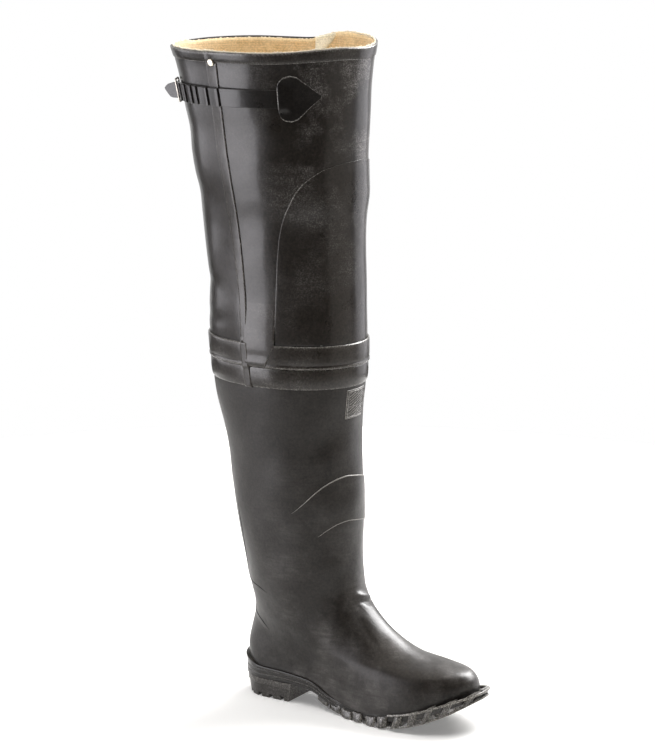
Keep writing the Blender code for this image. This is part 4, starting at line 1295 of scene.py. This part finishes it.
for out, level in ((0.6, seat + 1.4), (-0.4, sole_tread(edge_x) + 1.6)):
    rail = np.array([
        sole_loop(out + RAIL_HALF * math.cos(a), level + RAIL_HALF * math.sin(a)) for a in turn
    ])
    rail = rail[:, round_toe].transpose(1, 0, 2)
    sole_points = add_block(sole_points, sole_faces, rail.reshape(-1, 3),
                            capped_stack(len(rail), len(turn)))
# Toward the toe the pale bloom is partly dust, partly painted highlight on the cleats; the
# lightened edges are partly wear, partly painted highlight.
sole_rubber = cured_rubber("sole_rubber", (0.0150, 0.0127, 0.0107), 0.32, 0.34,
                           grain=0.4, dust_and_sheen_reach=(-0.02, -0.01, 0.16, 0.27), worn=0.8)
outsole = make_piece("lugged_outsole", sole_points, sole_faces, sole_rubber,
                     outward=True, crisp=32)
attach(outsole, "root")
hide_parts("outsole")


# Heel: a moulded rubber block under the back of the plate, with a proud top lift and
# cross grooves, cured on with the sole.
HEEL_LENGTH = 78.0
HEEL_POINTS = 40
HEEL_TOP_LIFT = 17.0
HEEL_TAPER = 4.0
HEEL_LIFT_STEP = 0.9
BREAST_SLOPE = 5.0
GROOVES = [16.0, 32.0, 48.0, 64.0]
GROOVE_HALF = 2.5
GROOVE_FLARE = 0.6
GROOVE_DEPTH = 5.0
GROOVE_BELOW = 6.0
GROOVE_REACH = 60.0
heel_top = float(sole_under(0.0)) - 0.3


def heel_loop(inset, z, breast):
    x = breast - (breast - inset) * np.sin(np.linspace(0, math.pi / 2, HEEL_POINTS))
    reach = (x - inset) / (breast - inset) * HEEL_LENGTH
    lateral, medial = (
        np.maximum(half_sole(reach, np.full_like(x, side)) - inset * 0.6, 0) for side in (-1, 1)
    )
    lateral[-1] = 0
    outer = np.column_stack([x, -lateral])
    inner = np.column_stack([x, medial])[-2::-1]
    plan = np.concatenate([outer, inner])
    return np.column_stack([plan, np.full(len(plan), z)])


heel_loops = [
    heel_loop(0.2, heel_top, HEEL_LENGTH),
    heel_loop(0.4, HEEL_TOP_LIFT, HEEL_LENGTH - 1),
    heel_loop(0.4 + HEEL_LIFT_STEP, HEEL_TOP_LIFT - 0.6, HEEL_LENGTH - 1.5),
    heel_loop(HEEL_TAPER - 0.1, 0.7, HEEL_LENGTH - BREAST_SLOPE + 0.2),
    heel_loop(HEEL_TAPER + 0.5, 0.0, HEEL_LENGTH - BREAST_SLOPE - 0.5),
]
# Edges lightened a little: partly wear, partly painted highlight.
heel_rubber = cured_rubber("heel_rubber", (0.0225, 0.0190, 0.0158), 0.40, 0.14,
                           grain=0.6, worn=0.25)
heel = make_piece("heel_block", np.concatenate(heel_loops),
                  capped_stack(len(heel_loops), len(heel_loops[0])), heel_rubber,
                  outward=True, crisp=35)
for x in GROOVES:
    walls = []
    for half, z in ((GROOVE_HALF + GROOVE_FLARE, -GROOVE_BELOW), (GROOVE_HALF, GROOVE_DEPTH)):
        for along, y in ((-half, -1), (half, -1), (half, 1), (-half, 1)):
            walls.append((x + along, y * GROOVE_REACH, z))
    cutter = make_piece("groove_cutter", walls, capped_stack(2, 4), heel_rubber, outward=True)
    cut = heel.modifiers.new("groove", "BOOLEAN")
    cut.operation = "DIFFERENCE"
    cut.solver = "EXACT"
    cut.object = cutter
    graph = bpy.context.evaluated_depsgraph_get()
    grooved = bpy.data.meshes.new_from_object(heel.evaluated_get(graph))
    heel.modifiers.clear()
    heel.data = grooved
    bpy.data.objects.remove(cutter, do_unlink=True)
heel.data.set_sharp_from_angle(angle=math.radians(30))
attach(heel, "root")
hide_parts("heel")


# Studio: a plain white floor and broad soft boxes to the left, above and behind right,
# with the camera at the photo's angle.
FLOOR_RADIUS = 1.35
floor_mesh = bpy.data.meshes.new("studio_floor")
floor_rim = [(FLOOR_RADIUS * math.cos(a), FLOOR_RADIUS * math.sin(a), 0) for a in full_turn(96)]
floor_mesh.from_pydata(floor_rim, [], [list(range(len(floor_rim)))])
floor_white = bpy.data.materials.new("floor_white")
floor_white.use_nodes = True
floor_shader = floor_white.node_tree.nodes["Principled BSDF"]
for socket, value in (("Base Color", (0.86, 0.845, 0.825, 1)), ("Roughness", 0.8),
                      ("Emission Color", (1, 1, 1, 1)), ("Emission Strength", 0.2)):
    floor_shader.inputs[socket].default_value = value
floor_mesh.materials.append(floor_white)
floor = bpy.data.objects.new("studio_floor", floor_mesh)
bpy.context.scene.collection.objects.link(floor)


def soft_box(name, place, aim, wide, high, power, tint=(1, 1, 1)):
    lamp = bpy.data.lights.new(name, "AREA")
    lamp.shape = "RECTANGLE"
    lamp.size = wide
    lamp.size_y = high
    lamp.energy = power
    lamp.color = tint
    box = bpy.data.objects.new(name, lamp)
    box.location = place
    away = np.asarray(place, float) - np.asarray(aim, float)
    flat = math.hypot(away[0], away[1])
    box.rotation_euler = (math.atan2(flat, away[2]), 0, math.atan2(away[0], -away[1]))
    box.visible_camera = False
    bpy.context.scene.collection.objects.link(box)
    return box


COOL = (0.97, 0.955, 1.0)
WARM = (1.0, 0.93, 0.85)
mirrored = [
    soft_box("left_near_box", (-1.05, -1.69, 0.75), (0, 0, 0.75), 0.96, 1.7, 45, COOL),
    soft_box("left_far_box", (-1.84, -0.80, 0.85), (0, 0, 0.85), 1.87, 1.5, 31, COOL),
    soft_box("right_back_box", (0.84, 1.81, 1.0), (0, 0, 0.6), 1.6, 2.4, 24, COOL),
    soft_box("window", (0.88, 1.72, 1.70), (0.15, 0, 0.1), 1.6, 1.5, 235),
    soft_box("backdrop", (-1.05, 1.40, 0.95), (0, 0, 0.9), 2.2, 1.9, 13),
    soft_box("right_fill", (2.18, 0.31, 0.4), (0, 0, 0.4), 2.0, 2.2, 11, WARM),
    soft_box("ceiling", (0, 0, 3.2), (0, 0.01, 0), 3.0, 3.0, 54, WARM),
]
for box in mirrored:
    box.visible_diffuse = False
soft_box("top_box", (-0.4, -0.45, 3.2), (0, 0, 0), 3.0, 3.0, 125).visible_glossy = False
soft_box("back_top_box", (0.6, 2.1, 2.6), (0, 0, 0), 2.0, 2.0, 165).visible_glossy = False

world = bpy.data.worlds.new("studio")
bpy.context.scene.world = world
world.use_nodes = True
tree = world.node_tree
dim = tree.nodes["Background"]
white = node(tree, "ShaderNodeBackground")
for background, strength in ((dim, 0.04), (white, 1.0)):
    background.inputs["Color"].default_value = (1, 1, 1, 1)
    background.inputs["Strength"].default_value = strength
path = node(tree, "ShaderNodeLightPath")
choose = node(tree, "ShaderNodeMixShader")
for slot, source in enumerate((path.outputs["Is Camera Ray"], dim.outputs[0], white.outputs[0])):
    tree.links.new(source, choose.inputs[slot])
tree.links.new(choose.outputs[0], tree.nodes["World Output"].inputs["Surface"])

lens = bpy.data.cameras.new("camera")
lens.lens = 122.95
lens.sensor_width = 36.0
lens.clip_end = 50
camera = bpy.data.objects.new("camera", lens)
camera.location = (1.6687, -2.4656, 1.052)
camera.rotation_euler = (math.radians(77.4), 0, math.radians(33.02))
bpy.context.scene.collection.objects.link(camera)
bpy.context.scene.camera = camera
bpy.context.scene.view_settings.view_transform = "Standard"
